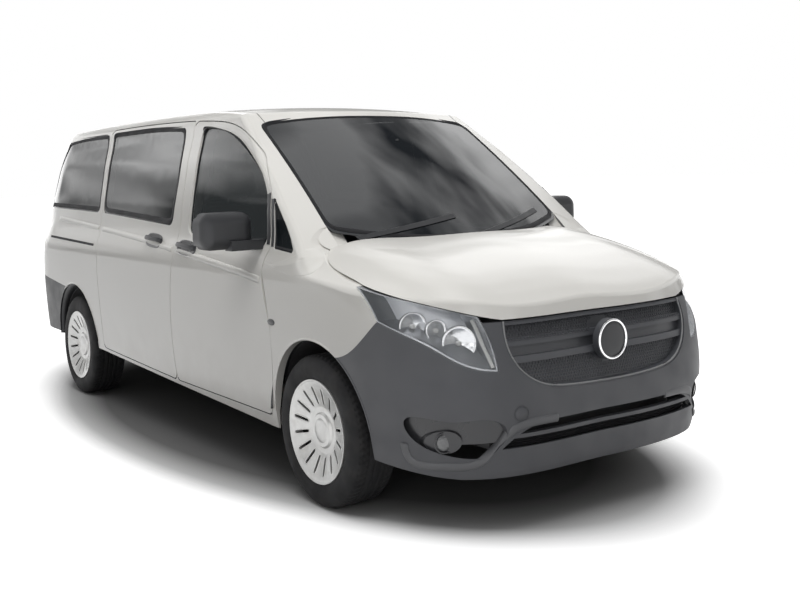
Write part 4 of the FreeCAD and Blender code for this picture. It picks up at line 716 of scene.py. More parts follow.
# Glass: outlines in side view as shares of the half length and of the height.
front_glass_shares = (
    ((0.452, 0.733), (0.418, 0.784), (0.340, 0.850), (0.262, 0.897), (0.170, 0.925), (0.083, 0.934)),
    ((0.083, 0.934), (0.103, 0.800), (0.119, 0.632)),
    ((0.119, 0.632), (0.170, 0.604), (0.235, 0.594), (0.350, 0.596), (0.479, 0.603)),
    ((0.479, 0.603), (0.452, 0.733)),
)
sliding_glass_shares = (
    ((0.030, 0.641), (0.024, 0.800), (-0.006, 0.940)),
    ((-0.006, 0.940), (-0.200, 0.949), (-0.473, 0.948)),
    ((-0.473, 0.948), (-0.440, 0.800), (-0.418, 0.670)),
    ((-0.418, 0.670), (-0.194, 0.656), (0.030, 0.641)),
)
quarter_glass_shares = (
    ((-0.443, 0.670), (-0.465, 0.800), (-0.503, 0.948)),
    ((-0.503, 0.948), (-0.700, 0.945), (-0.830, 0.936)),
    ((-0.830, 0.936), (-0.880, 0.820), (-0.900, 0.682)),
    ((-0.900, 0.682), (-0.700, 0.678), (-0.443, 0.670)),
)
triangle_glass_shares = (
    ((0.508, 0.602), (0.481, 0.728)),
    ((0.481, 0.728), (0.540, 0.658), (0.585, 0.594)),
    ((0.585, 0.594), (0.508, 0.602)),
)

# Outlines in front and rear view, as shares of the half width and of the height.
screen_shares = (
    ((-0.7185, 0.930), (-0.762, 0.642)),
    ((-0.762, 0.642), (-0.400, 0.614), (0.0, 0.608), (0.400, 0.614), (0.762, 0.642)),
    ((0.762, 0.642), (0.7185, 0.930)),
    ((0.7185, 0.930), (0.400, 0.948), (0.0, 0.954), (-0.400, 0.948), (-0.7185, 0.930)),
)
tailgate_glass_shares = (
    ((0.565, 0.930), (0.600, 0.780), (0.622, 0.660)),
    ((0.622, 0.660), (0.0, 0.652), (-0.622, 0.660)),
    ((-0.622, 0.660), (-0.600, 0.780), (-0.565, 0.930)),
    ((-0.565, 0.930), (0.0, 0.942), (0.565, 0.930)),
)

# Borders: how far the panes' bands and the door glass's seal stand proud, where they start inside the
# edge, and their thickness.
pane_proud, seal_proud = 0.0006, 0.0022
band_start = 0.001
band_thickness = 0.0018

# The uprights between the door glass and the corner glass: front edge, rear edge, columns of points,
# distance from the panel, panel and bodies.
bar_points = 24
bar_thickness = 0.0030
glass_bars = (
    ("door_bar", ((0.4910, 0.608), (0.4625, 0.738)), ((0.4775, 0.608), (0.4505, 0.734)), 7, 0.0016,
     "front_door_right", doors),
    ("corner_bar", ((0.5085, 0.603), (0.4825, 0.722)), ((0.4960, 0.603), (0.4695, 0.722)), 5, 0.0012,
     "side_frame_right", "body"),
)


def side_lines(shares):
    """Runs of side-view shares in metres."""
    return [np.array(run) * (half_length, height) for run in shares]


def front_lines(shares):
    """Runs of front-view shares in metres."""
    return [np.array(run) * (half_width, height) for run in shares]


def border(runs, lay, names, width, proud=pane_proud, count=150, corner=0.045):
    """A thin black band just inside a pane's edge: the outline is moved inwards to the band's outer edge,
    middle and inner edge, laid on the pane and given a thickness."""
    edge = outline(runs, count, corner)
    rings = [lay(inward(edge, band_start + width * share), names, proud)[0] for share in (0.0, 0.5, 1.0)]
    facing = lay(inward(edge, band_start + width / 2.0), names)[1]
    top = np.stack(rings, axis=1)
    return slab(top, top - facing[:, None] * band_thickness, True)


def glass_borders():
    """Rubber seals and printed black borders round every pane."""
    fixed = ["fixed_side_glass"]
    front = border(side_lines(front_glass_shares), on_flank, ["door_glass_right"], 0.013, seal_proud)
    pair("door_glass_seal", front, "seal_rubber", doors)
    for name, shares in (("sliding_glass_border", sliding_glass_shares),
                         ("quarter_glass_border", quarter_glass_shares)):
        pair(name, border(side_lines(shares), on_flank, fixed, 0.030), "seal_rubber")
    corner = border(side_lines(triangle_glass_shares), on_flank, fixed, 0.009, count=90, corner=0.010)
    pair("corner_glass_seal", corner, "seal_rubber")
    screen = border(front_lines(screen_shares), on_front, ["windscreen"], 0.020, count=200, corner=0.03)
    piece("windscreen_border", *screen, "seal_rubber")
    rear = border(front_lines(tailgate_glass_shares), on_back, ["tailgate_glass"], 0.032)
    piece("tailgate_glass_border", *rear, "seal_rubber", "tailgate_lid")


def door_bars():
    """Dark uprights between the door glass and the corner glass: p = front + s (rear - front), laid on the
    panel and given a thickness."""
    for name, front, rear, columns, proud, carrier, bodies in glass_bars:
        front, rear = (even(spline(run, bar_points), bar_points) for run in side_lines((front, rear)))
        shares = np.linspace(0.0, 1.0, columns)
        top = np.stack([on_flank(front + (rear - front) * s, [carrier], proud)[0] for s in shares], axis=1)
        facing = on_flank((front + rear) / 2.0, [carrier])[1][:, None]
        pair(name, slab(top, top - facing * bar_thickness), "black_trim", bodies)


# The smooth hollow where the windscreen pillar's foot runs down into the fender's shoulder: its middle line
# in the photograph's pixels, and how far it reaches up and down from there.
foot_pixels = ((270, 265.5), (277, 265.5), (286, 265.0), (296, 262.5), (308, 259.0), (318, 256.5),
               (326, 254.5))
foot_reach_up = (1.0, 3.0, 5.5, 7.5, 10.5, 9.0, 3.0)
foot_reach_down = (1.5, 5.0, 10.0, 15.0, 16.0, 11.0, 3.0)
foot_slant = np.array([0.2, 1.0])
foot_margin = 0.25
foot_rows, foot_columns = 25, 61
foot_rounds = 60
foot_proud, foot_sunk = 0.0012, 0.004


def pillar_feet():
    """A fillet over the step, as distances along the camera's rays: across it, each column's distance is
    h(s) = (2s^3 - 3s^2 + 1) a + (s^3 - 2s^2 + s) a' + (3s^2 - 2s^3) b + (s^3 - s^2) b' between the surfaces
    above and below, a and b, with their slopes. It is then smoothed by averaging neighbours, and it is
    never behind the surface that is there."""
    names = ("side_frame_right", "fender_right", "front_structure")
    middle = spline(foot_pixels, foot_columns)
    share = np.linspace(0.0, 1.0, foot_columns)
    known = np.linspace(0.0, 1.0, len(foot_reach_up))
    up, down = (smoothed(np.interp(share, known, reach)[:, None], 4)[:, 0]
                for reach in (foot_reach_up, foot_reach_down))
    across = np.linspace(-1.0, 1.0, foot_rows)
    beyond = np.concatenate([[-1.0 - foot_margin], across, [1.0 + foot_margin]])
    reach = np.where(beyond[:, None] < 0.0, up, down)
    pixels = middle[None] + (beyond[:, None] * reach)[..., None] * foot_slant
    eye = np.array(camera_place)
    rays = seen(pixels.reshape(-1, 2), names)[0] - eye
    far = np.linalg.norm(rays, axis=1).reshape(len(beyond), foot_columns)
    rays = (rays.reshape(len(beyond), foot_columns, 3) / far[..., None])[1:-1]
    there = far[1:-1]
    s = (across[:, None] + 1.0) / 2.0
    start_slope, end_slope = (far[1] - far[0]) * 2.0 / foot_margin, (far[-1] - far[-2]) * 2.0 / foot_margin
    bridge = (2 * s**3 - 3 * s**2 + 1) * far[1] + (s**3 - 2 * s**2 + s) * start_slope
    bridge = bridge + (3 * s**2 - 2 * s**3) * far[-2] + (s**3 - s**2) * end_slope
    top = np.minimum(bridge, there) - foot_proud
    for _ in range(foot_rounds):
        around = top[:-2, 1:-1] + top[2:, 1:-1] + top[1:-1, :-2] + top[1:-1, 2:]
        mean = (around + 4.0 * top[1:-1, 1:-1]) / 8.0
        top[1:-1, 1:-1] = np.minimum(mean, there[1:-1, 1:-1] - foot_proud)
    rim = np.pad(np.zeros((foot_rows - 2, foot_columns - 2), bool), 1, constant_values=True)
    top = np.where(rim, there + foot_sunk / 2.0, top)
    outer = eye + rays * top[..., None]
    inner = eye + rays * (np.maximum(top, there) + foot_sunk)[..., None]
    pair("pillar_feet", slab(outer, inner), "body_paint")


# Swage line below the windows: (x, z) in metres from the tail to the fender, and its section.
swage_points = ((-1.974, 1.211), (-1.091, 1.164), (-0.269, 1.117), (0.542, 1.053), (1.017, 1.009),
                (1.252, 0.982))
swage_profile = ((0.020, -0.0006), (0.011, 0.0022), (0.003, 0.0036), (-0.004, 0.0034), (-0.012, 0.0012),
                 (-0.018, -0.0006), (0.0, -0.002))

# Its parts: name, panel, rear and front ends, and bodies.
swage_panels = (
    ("swage_quarter", "side_frame_right", -1.974, -1.090, "body"),
    ("swage_sliding_door", "sliding_door_right", -1.040, 0.170, "body"),
    ("swage_front_door", "front_door_right", 0.206, 1.236, doors),
)


def swages():
    """The pressed line along each side: an uneven low bead carried along the flank, cut at the shut
    lines."""
    line = even(spline(np.array(swage_points), 200), 260)
    for name, panel, rear, front, bodies in swage_panels:
        part = line[(line[:, 0] > rear) & (line[:, 0] < front)]
        path, facing = on_flank(part, [panel])
        pair(name, swept(smoothed(path, 2), facing, swage_profile), "body_paint", bodies)


# Wheel arches: half length and rise from the arch's middle. The lips' arcs are in degrees from the rear,
# with their number of points.
arch_centre_z = 0.345
front_arch, rear_arch = (0.372, 0.401), (0.410, 0.420)
lip_growth = 0.005
lips = (
    ("front_arch_lip", "fender_right", front_axle_x, front_arch, (2, 114, 70), "body_paint"),
    ("front_arch_lip_bumper", "front_bumper", front_axle_x, front_arch, (121, 172, 40), "bumper_paint"),
    ("rear_arch_lip", "side_frame_right", rear_axle_x, rear_arch, (60, 176, 70), "body_paint"),
)

# Liners: their inner edge and wall, their arc in degrees from the front, how far outside the arch the
# panel's y is looked up, and the two ellipses that each runs between, at the housing and at the panel.
liner_inner_y, liner_wall = -0.885, 0.004
liner_arc = (4.0, 176.0, 80)
liner_look = 0.012
liners = (
    (front_axle_x, (0.402, 0.402), (0.402, 0.406)),
    (rear_axle_x, (0.387, 0.387), (0.414, 0.424)),
)


def arch_lips():
    """Rolled edges of the wheel arches, a small bead on each panel that meets an arch: its line is
    x = c - (a + g) cos t, z = z0 + (b + g) sin t."""
    for name, panel, centre_x, (length, rise), arc, finish in lips:
        t = np.radians(np.linspace(*arc))
        x = centre_x - (length + lip_growth) * np.cos(t)
        line = np.stack([x, arch_centre_z + (rise + lip_growth) * np.sin(t)], -1)
        path, facing = on_flank(line, [panel])
        pair(name, swept(smoothed(path, 2), facing, bead(0.010, 0.0030, 0.001, 7)), finish)


def arch_liners():
    """Strips from the wheel housings' round walls out to the panels: (x, z) = centre + (r cos a, q sin a)
    at each end."""
    names = ("side_frame_right", "fender_right", "front_bumper", "rear_bumper")
    angles = np.radians(np.linspace(*liner_arc))
    ring = np.stack([np.cos(angles), np.sin(angles)], -1)
    surfaces = []
    for centre_x, inner, outer in liners:
        middle = np.array([centre_x, arch_centre_z])
        skin, _ = on_flank(middle + ring * (np.array(outer) + liner_look), names)
        sheets = []
        for grown in (0.0, liner_wall):
            near, far = (middle + ring * (np.array(radii) + grown) for radii in (inner, outer))
            near = np.stack([near[:, 0], np.full(len(near), liner_inner_y), near[:, 1]], -1)
            far = np.stack([far[:, 0], skin[:, 1] + liner_wall, far[:, 1]], -1)
            sheets.append(np.stack([near, far], 1))
        surfaces.append(slab(*sheets))
    pair("arch_liners", joined(surfaces), "black_trim")


# Door handles: rear and front ends in side view, panel and bodies. The cup's rings are (share of the
# oval, distance from the panel).
handles = (
    ("front_door_handle", (0.229, 1.103), (0.454, 1.091), "front_door_right", doors),
    ("sliding_door_handle", (-0.239, 1.126), (-0.020, 1.114), "sliding_door_right", "body"),
)
cup_rings = ((1.0, -0.0010), (1.0, 0.0020), (0.90, 0.0032), (0.80, 0.0016), (0.5, 0.0012), (0.02, 0.0012))
cup_points = 48
cup_half_length_share, cup_half_height = 0.56, 0.040
bar_lift, bar_stand, bar_arch = 0.006, 0.004, 0.024


def pull_handles():
    """A dished oval plate on each door's panel, and a bar that stands off it in a low arch: its distance is
    d + a (4 s (1 - s))^0.35."""
    for name, rear, front, panel, bodies in handles:
        centre, slope = (np.array(rear) + front) / 2.0, np.array(front) - rear
        length = np.linalg.norm(slope)
        slope = slope / length
        across = np.array([-slope[1], slope[0]])
        oval = squared_oval(cup_points, length * cup_half_length_share, cup_half_height, 0.7, 0.8)
        flat = oval[:, :1] * slope + oval[:, 1:] * across
        rings = [on_flank(centre + share * flat, [panel], proud)[0] for share, proud in cup_rings]
        cup = np.stack(rings, axis=1)
        surface = (cup.reshape(-1, 3), quads(cup_points, len(cup_rings), True))
        pair(name + "_cup", surface, "fog_lamp", bodies, "black_trim")
        s = np.linspace(0.0, 1.0, 26)
        line = centre + slope * (s[:, None] - 0.5) * length + across * bar_lift
        path, facing = on_flank(line, [panel])
        path = path + facing * (bar_stand + bar_arch * (4 * s * (1 - s))[:, None] ** 0.35)
        pair(name + "_bar", swept(path, facing, ellipse(14, 0.0135, 0.0075)), "black_trim", bodies)


# The sliding doors' rails: their line in side view, the channel's section and the lips' offsets.
rail_points = ((-2.077, 1.078), (-1.600, 1.066), (-1.112, 1.053))
rail_section = ((0.008, -0.001), (0.008, 0.0005), (0.0, 0.0003), (-0.008, 0.0005), (-0.008, -0.001))
rail_lips = (("rail_slot_lip_high", 0.0105), ("rail_slot_lip_low", -0.0105))


def rail_slots():
    """The sliding doors' rail slots in the rear quarters: a dark channel between two thin lips."""
    line = even(spline(np.array(rail_points), 40), 60)
    path, facing = on_flank(line, ["side_frame_right"])
    path = smoothed(path, 2)
    pair("rail_slot", swept(path, facing, rail_section), "seal_rubber")
    for name, offset in rail_lips:
        lip = bead(0.005, 0.0018, 0.001, 5) + (offset, 0.0)
        pair(name, swept(path, facing, lip), "body_paint")


# Side lamps: place and half size in side view, and rings of (share, distance from the panel).
side_lamp_place = np.array([1.335, 0.795])
side_lamp_half_size = (0.034, 0.015)
side_lamp_rings = ((1.0, -0.001), (1.0, 0.002), (0.8, 0.0045), (0.4, 0.0060), (0.02, 0.0064))


def side_lamps():
    """Small flush oval lamps behind the front arches: shrinking ovals, each prouder than the last."""
    oval = ellipse(40, *side_lamp_half_size)
    rings = [on_flank(side_lamp_place + oval * share, ["fender_right"], proud)[0]
             for share, proud in side_lamp_rings]
    surface = (np.stack(rings, axis=1).reshape(-1, 3), quads(len(oval), len(rings), True))
    pair("side_lamp", surface, "fog_lamp")


# Front bumper: the chamfer's line and the cover's place are given in the photograph's pixels, the cover's
# sections as (radius, height), and the grille's right side as shares of the half width and the height.
chamfer_pixels = ((404, 441), (405, 450), (409, 459), (418, 465), (440, 467), (468, 467), (482, 462),
                  (492, 450), (504, 437), (518, 427), (538, 421), (560, 417))
tow_cover_pixel = (522.0, 414.0)
tow_cover_ring = ((0.031, -0.001), (0.031, 0.0014), (0.0335, 0.0016), (0.0335, -0.001))
tow_cover_disc = ((0.0, 0.0008), (0.029, 0.0008), (0.030, -0.001))
grille_side_shares = ((-0.558, 0.4595), (-0.563, 0.405), (-0.520, 0.357), (-0.430, 0.323), (-0.300, 0.309),
                      (0.0, 0.303))
grille_edge_scale, grille_edge_lift = (0.985, 1.0), (0.0, 0.006)


def bumper_details():
    """The bumper's chamfer below the fog lamp and the intake, the towing eye's cover, and a thin edge round
    the grille's sides and foot: beads carried along lines, and profiles turned about the surface's
    normal."""
    line = even(spline(np.array(chamfer_pixels, float), 120), 90)
    path, facing = seen(line, ["front_bumper"])
    chamfer = swept(smoothed(path, 4), smoothed(facing, 6), bead(0.036, 0.0080, 0.002, 11))
    pair("bumper_chamfer", chamfer, "bumper_lip")
    centre, axis = spot(seen, tow_cover_pixel, ["front_bumper"])
    cover = joined([ring_of(tow_cover_ring, centre, axis), turned(tow_cover_disc, centre, axis)])
    piece("towing_cover", *cover, "bumper_paint")
    side = front_lines([grille_side_shares])[0]
    whole = np.concatenate([side, side[::-1][1:] * (-1.0, 1.0)])
    edge = even(spline(whole, 160), 150) * grille_edge_scale + grille_edge_lift
    path, facing = on_front(edge, ["radiator_grille", "front_bumper"])
    rim = swept(smoothed(path, 3), smoothed(facing, 5), bead(0.007, 0.0035, 0.001, 7))
    piece("grille_edge", *rim, "grille_edge", slot="grille")


# Lower intake: the panel's reach to each side, the height of the line it follows, its foot and its top.
intake_half_width, intake_line_z = 0.60, 0.500
intake_low_z, intake_high_z = 0.250, 0.400
intake_setback, intake_wall = 0.075, 0.004
slat_depth, slat_wave = 0.010, 0.0308


def intake():
    """A black slatted panel inside the lower intake: the bumper's plan line above the opening, moved back
    and carried down, with slats d cos^4(2 pi z / w) standing on it."""
    y = np.linspace(-intake_half_width, intake_half_width, 90)
    line, _ = on_front(np.stack([y, np.full_like(y, intake_line_z)], -1), ["front_bumper"])
    line = smoothed(line, 3)
    z = np.linspace(intake_low_z, intake_high_z, 60)
    behind = np.repeat(line[:, None], len(z), axis=1)
    behind[..., 0] -= intake_setback + intake_wall
    behind[..., 2] = z[None]
    front = behind.copy()
    front[..., 0] += intake_wall + slat_depth * np.cos(2 * math.pi * (z - z[0]) / slat_wave)[None] ** 4
    piece("intake_panel", *slab(front, behind), "seal_rubber")


# Grille: the honeycomb's bands of heights, its lattice and its six-sided cells, and the round boss.
honeycomb_bands = ((0.795, 0.853), (0.600, 0.692))
honeycomb_step, honeycomb_row_share = 0.0150, 0.866
honeycomb_half_width, honeycomb_margin = 0.54, 0.026
cell_radius, cell_wall, cell_depth = 0.0082, 0.0016, 0.0030
boss_z, boss_clearance = 0.748, 0.100
boss_disc = ((0.0, 0.0045), (0.030, 0.0042), (0.060, 0.0030), (0.076, 0.0012), (0.078, -0.001))


def hexagon_cells(points, facing):
    """Six-sided tubes: each cell is four rings of six corners, p = c + r (cos t a + sin t b) + h n, at the
    outer radius and the inner one, joined front and back."""
    up = np.array([0.0, 0.0, 1.0])
    side = np.cross(up, facing)
    side /= np.linalg.norm(side, axis=1)[:, None]
    top = np.cross(facing, side)
    t = np.arange(6) * math.pi / 3.0 + math.pi / 6.0
    spokes = side[:, None] * np.cos(t)[None, :, None] + top[:, None] * np.sin(t)[None, :, None]
    inner = cell_radius - cell_wall
    rings = ((cell_radius, 0.0), (cell_radius, cell_depth), (inner, cell_depth), (inner, 0.0))
    place = np.stack([points[:, None] + spokes * r + facing[:, None] * h for r, h in rings], axis=1)
    one = quads(4, 6, True, True)
    starts = np.arange(len(points)) * 24
    return place.reshape(-1, 3), (one[None] + starts[:, None, None]).reshape(-1, 4)


def grille_mesh():
    """Honeycomb bands above and below the louvres: a triangular lattice of small six-sided cells laid on
    the mesh panel, kept clear of the grille's sides and of the boss."""
    rows = []
    for low, high in honeycomb_bands:
        z = np.arange(low, high, honeycomb_step * honeycomb_row_share)
        y = np.arange(-honeycomb_half_width, honeycomb_half_width, honeycomb_step)
        grid_y, grid_z = np.meshgrid(y, z, indexing="xy")
        grid_y = grid_y + (np.arange(len(z)) % 2)[:, None] * honeycomb_step / 2.0
        rows.append(np.stack([grid_y.ravel(), grid_z.ravel()], -1))
    cells = np.concatenate(rows)
    side = spline(front_lines([grille_side_shares])[0], 200)
    side = side[np.argsort(side[:, 1])]
    limit = np.abs(np.interp(cells[:, 1], side[:, 1], side[:, 0])) - honeycomb_margin
    cells = cells[np.abs(cells[:, 0]) < limit]
    cells = cells[np.hypot(cells[:, 0], cells[:, 1] - boss_z) > boss_clearance]
    place, facing = on_front(cells, ["radiator_grille"])
    piece("grille_honeycomb", *hexagon_cells(place, facing), "grille", smooth=False)


def grille_boss():
    """A plain plated ring and a plain domed disc on the grille's round boss."""
    centre, _ = spot(on_front, (0.0, boss_z), ["radiator_grille"])
    ring = ellipse(12, 0.0055, 0.0050) + (0.081, 0.003)
    piece("grille_ring", *ring_of(ring, centre, (1, 0, 0), 72), "chrome", slot="lamp_bowl")
    piece("grille_disc", *turned(boss_disc, centre, (1, 0, 0), 60), "black_trim")


# Headlamps: reflector centres in pixels with radii in metres, the way they face, and the light guide.
reflectors = (((411.0, 326.0), 0.054), ((457.0, 343.0), 0.068), ((434.0, 330.0), 0.040))
reflector_axis = np.array([0.93, -0.36, 0.06])
reflector_lift, reflector_depth = 0.010, 0.024
bulb_profile = ((0.0, 0.030), (0.008, 0.028), (0.011, 0.020), (0.011, 0.000))
guide_pixels = ((472, 318), (478, 330), (484, 345), (490, 358), (495, 369))
guide_lift = 0.008


def headlamps():
    """Reflector bowls, z = d s^2 over the radius, with their rims and bulbs, and an upright light guide
    behind each clear lens."""
    bowls, rims, bulbs = [], [], []
    for pixel, radius in reflectors:
        centre = spot(seen, pixel, ["lamp_bowls"])[0] + reflector_axis * reflector_lift
        s = np.linspace(0.0, 1.0, 9)
        inner = np.stack([radius * s, reflector_depth * s ** 2 - 0.004], -1)
        outer = np.array([[radius * 1.05, 0.020], [radius * 1.02, -0.012], [0.0, -0.014]])
        bowls.append(turned(np.concatenate([inner, outer]), centre, reflector_axis, 36))
        rim = ellipse(8, 0.003, 0.003) + (radius * 1.03, 0.021)
        rims.append(ring_of(rim, centre, reflector_axis, 36))
        bulbs.append(turned(bulb_profile, centre, reflector_axis, 18))
    pair("lamp_reflectors", joined(bowls), "lamp_bowl")
    pair("lamp_rims", joined(rims), "chrome", slot="lamp_bowl")
    pair("lamp_bulbs", joined(bulbs), "white_lamp", slot="lamp_glass")
    line = even(spline(np.array(guide_pixels, float), 40), 40)
    path, facing = seen(line, ["lamp_bowls"])
    guide = swept(smoothed(path, 3) + facing * guide_lift, facing, bead(0.013, 0.008, 0.006, 9))
    pair("lamp_guide", guide, "white_lamp", slot="lamp_glass")


# Fog lamps: place in front view, the way they face, and the lens's section as (radius, height).
fog_lamp_place = (-0.760, 0.396)
fog_lamp_axis = (0.96, -0.28, 0.0)
fog_lamp_dome = ((0.0, 0.010), (0.016, 0.009), (0.028, 0.006), (0.036, 0.0), (0.036, -0.004))


def fog_lamps():
    """Rings and domed lenses in the fog lamps, turned about the lamps' axis."""
    centre, _ = spot(on_front, fog_lamp_place, ["fog_lamps"])
    ring = ellipse(10, 0.0035, 0.0035) + (0.041, 0.002)
    pair("fog_lamp_ring", ring_of(ring, centre, fog_lamp_axis, 48), "fog_lamp")
    pair("fog_lamp_lens", turned(fog_lamp_dome, centre, fog_lamp_axis, 40), "fog_lens", slot="lamp_glass")


# Wheels: name, side and hub of each.
corners = tuple(
    ("%s_%s" % (end, word), side, np.array([axle_x, side * tracks[end], wheel_z]))
    for end, axle_x in (("front", front_axle_x), ("rear", rear_axle_x))
    for word, side in (("right", -1.0), ("left", 1.0))
)

# Tyres: the wall's section and its raised lines as (radius, width), the crown, and the tread's pattern.
tyre_radius, tyre_width = wheel_z, 0.225
tyre_wall = ((0.0885, 0.206), (0.0995, 0.222), (0.1085, 0.243), (0.1122, 0.264), (0.1118, 0.286),
             (0.1075, 0.308), (0.0985, 0.325), (0.0865, 0.3350))
tyre_inside = ((-0.0860, 0.207), (-0.0700, 0.2056), (0.0, 0.212), (0.0700, 0.2056), (0.0860, 0.207))
wall_lines, wall_line_rise = ((0.232, 0.0016), (0.300, 0.0018)), 0.0009
crown_half_width, crown_drop, crown_gap = 0.0835, 0.0030, 0.0002
tread_half_width, tread_from, tread_steps = 0.090, 0.330, 288
groove_places, groove_width, groove_depth = (-0.046, -0.015, 0.015, 0.046), 0.0042, 0.0075
block_count, block_slant, cut_half_share = 72.0, 14.0, 0.13
block_from, block_depth = 0.052, 0.0060
sipe_to, sipe_depth = 0.046, 0.0025


def tyre_profile():
    """The tyre's section as (across, radius) points: beads, bulging walls with two raised lines, and a
    crown r = R - d |y / w|^3 between rounded shoulders."""
    wall = spline(tyre_wall, 26)
    line = wall_line_rise * sum(np.exp(-((wall[:, 1] - at) / width) ** 2) for at, width in wall_lines)
    wall[:, 0] += np.minimum(line, tyre_width / 2.0 - wall[:, 0])
    crown = np.linspace(crown_half_width, -crown_half_width, 45)
    top = tyre_radius - crown_gap - crown_drop * (np.abs(crown) / crown_half_width) ** 3
    tread = np.stack([crown, top], -1)
    return np.concatenate([wall, tread, wall[::-1] * (-1.0, 1.0), tyre_inside])


def tyres():
    """Tyres with four round-about grooves, cut shoulder blocks and fine sipes: each point is lowered by
    min(groove(y) + cut(angle, y) + sipe(angle, y), the groove's depth)."""
    profile = tyre_profile()
    angle = circle(tread_steps)[:, None]
    across, radius = profile[None, :, 0], profile[None, :, 1]
    on_tread = (np.abs(across) < tread_half_width) & (radius > tread_from)
    grooves = sum(np.exp(-((across - place) / groove_width) ** 4) for place in groove_places)
    pitch = block_count * angle / (2 * math.pi) + np.where(across > 0, 0.0, 0.5)
    slant = pitch + across * block_slant
    cut = (np.abs((slant % 1.0) - 0.5) < cut_half_share) & (np.abs(across) > block_from)
    fine = (np.abs(((slant * 2.0) % 1.0) - 0.5) < cut_half_share) & (np.abs(across) < sipe_to)
    depth = groove_depth * grooves + block_depth * cut + sipe_depth * fine
    deep = radius - on_tread * np.minimum(groove_depth, depth)
    place = np.stack([deep * np.cos(angle), across + 0.0 * angle, deep * np.sin(angle)], -1).reshape(-1, 3)
    faces = quads(tread_steps, len(profile), True, True)
    for name, side, hub in corners:
        points = place * (1.0, side, 1.0) + hub
        made = piece("tyre_carcass_" + name, points, faces, "tyre", "roller_" + name)
        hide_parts("tyre_" + name)


# Wheel covers: the dish rises from its middle to its edge, both given outwards from the hub. The sections
# of the dark plate behind it and of the cap are (radius, distance outwards).
cover_edge, cover_centre = 0.106, 0.072
dish_from, dish_to = 0.105, 0.213
cover_plate = ((0.02, 0.030), (0.100, 0.034), (0.205, 0.062), (0.205, 0.065), (0.100, 0.037), (0.02, 0.033))
cover_cap = ((0.0, 0.012825), (0.020, 0.01254), (0.040, 0.01121), (0.054, 0.009025), (0.058, 0.00665),
             (0.058, 0.0038))
cover_lift = 0.0005
rolled_radius = 0.226
slot_count, slot_middle = 16, 0.159
slot_half_size = (0.0435, 0.0105)


def cover_details():
    """Wheel covers: a dark plate behind the slots, a raised rounded lip round each slot, an outer rolled
    edge and a bare cap. A slot's oval lies on the dish: p = hub + r spoke + s across
    + (c + k (r - r0)) out."""
    oval = squared_oval(40, *slot_half_size, 0.55, 0.8)
    slope = (cover_edge - cover_centre) / (dish_to - dish_from)
    edge = ellipse(10, 0.0045, 0.0035) + (rolled_radius, cover_edge + cover_lift)
    reach = slot_middle + oval[:, :1]
    lift = cover_centre + slope * (reach - dish_from)
    for name, side, hub in corners:
        out = np.array([0.0, side, 0.0])
        body = "roller_" + name
        piece("cover_backing_" + name, *ring_of(cover_plate, hub, out, 64), "seal_rubber", body, "tyre")
        edges = [ring_of(edge, hub, out, 96)]
        for step in range(slot_count):
            turn = 2 * math.pi * (step + 0.5) / slot_count
            spoke = np.array([math.sin(turn), 0.0, math.cos(turn)])
            across = np.array([math.cos(turn), 0.0, -math.sin(turn)])
            line = hub + spoke * reach + across * oval[:, 1:] + out * lift
            facing = np.broadcast_to(out - spoke * slope, line.shape)
            edges.append(swept(line, facing, bead(0.0050, 0.0016, 0.0015, 5), True))
        piece("cover_lips_" + name, *joined(edges), "wheel_silver", body)
        centre = hub + out * (cover_centre + cover_lift)
        piece("cover_cap_" + name, *turned(cover_cap, centre, out, 48), "wheel_silver", body)


# Mirror glass: its middle, its half sizes, the fall of its dome, its thickness and its corners' rounding.
mirror_middle = (1.0625, -1.088, 1.222)
mirror_half_size = (0.118, 0.073)
mirror_fall, mirror_thickness, mirror_rounding = 0.0030, 0.0050, 0.06


def mirrors():
    """Mirror glass in each housing's pocket, slightly domed: its depth falls with the square of the
    distance from its middle, and its corners are drawn in by k |u v|^1.5."""
    u, v = np.meshgrid(np.linspace(-1.0, 1.0, 17), np.linspace(-1.0, 1.0, 13), indexing="ij")
    fall = mirror_fall * (u ** 2 + v ** 2) / 2.0
    squeeze = 1.0 - mirror_rounding * np.abs(u * v) ** 1.5
    y = mirror_middle[1] + u * mirror_half_size[0] * squeeze
    z = mirror_middle[2] + v * mirror_half_size[1] * squeeze
    front = np.stack([mirror_middle[0] + fall, y, z], -1)
    back = np.stack([np.full_like(u, mirror_middle[0] + mirror_thickness), y, z], -1)
    pair("mirror_glass", slab(front, back), "mirror_glass", doors, "lamp_bowl")


# Seats: node, middle along the vehicle, middles across it, and width.
seat_rows = (
    ("front_seats", 0.330, (-0.410, 0.410), 0.470),
    ("middle_seats", -0.560, (-0.494, 0.0, 0.494), 0.470),
    ("rear_seats", -1.500, (-0.428, 0.0, 0.428), 0.404),
)
seat_width, seat_lean, lean_z = 0.470, math.atan(0.20), 0.690
back_behind = 0.250
cushion_size, cushion_z = (0.496, 0.462, 0.144), 0.765
back_size, back_z = (0.114, 0.462, 0.632), 1.012
head_size, head_z = (0.086, 0.244, 0.154), 1.450
base_size, base_z = (0.360, 0.330, 0.150), 0.6205
pan_size, pan_z = (0.440, 0.420, 0.030), 0.690
post_profile, post_z = ((0.0, 0.090), (0.007, 0.090), (0.007, 0.0), (0.0, 0.0)), 1.310
post_sides = (-0.070, 0.070)

# Upholstery: the sewn channels' places, depths and width, and the cloth's mesh and pressure.
long_channels, long_channel_depth = (-0.135, 0.135), 0.007
cushion_cross_channels, back_cross_channels, cross_channel_depth = (-0.09, 0.05), (-0.10, 0.06, 0.20), 0.005
channel_width = 0.012
pad_weld, pad_voxel, pad_frames, pad_pressure = 0.0005, 0.0135, 20, 4.0


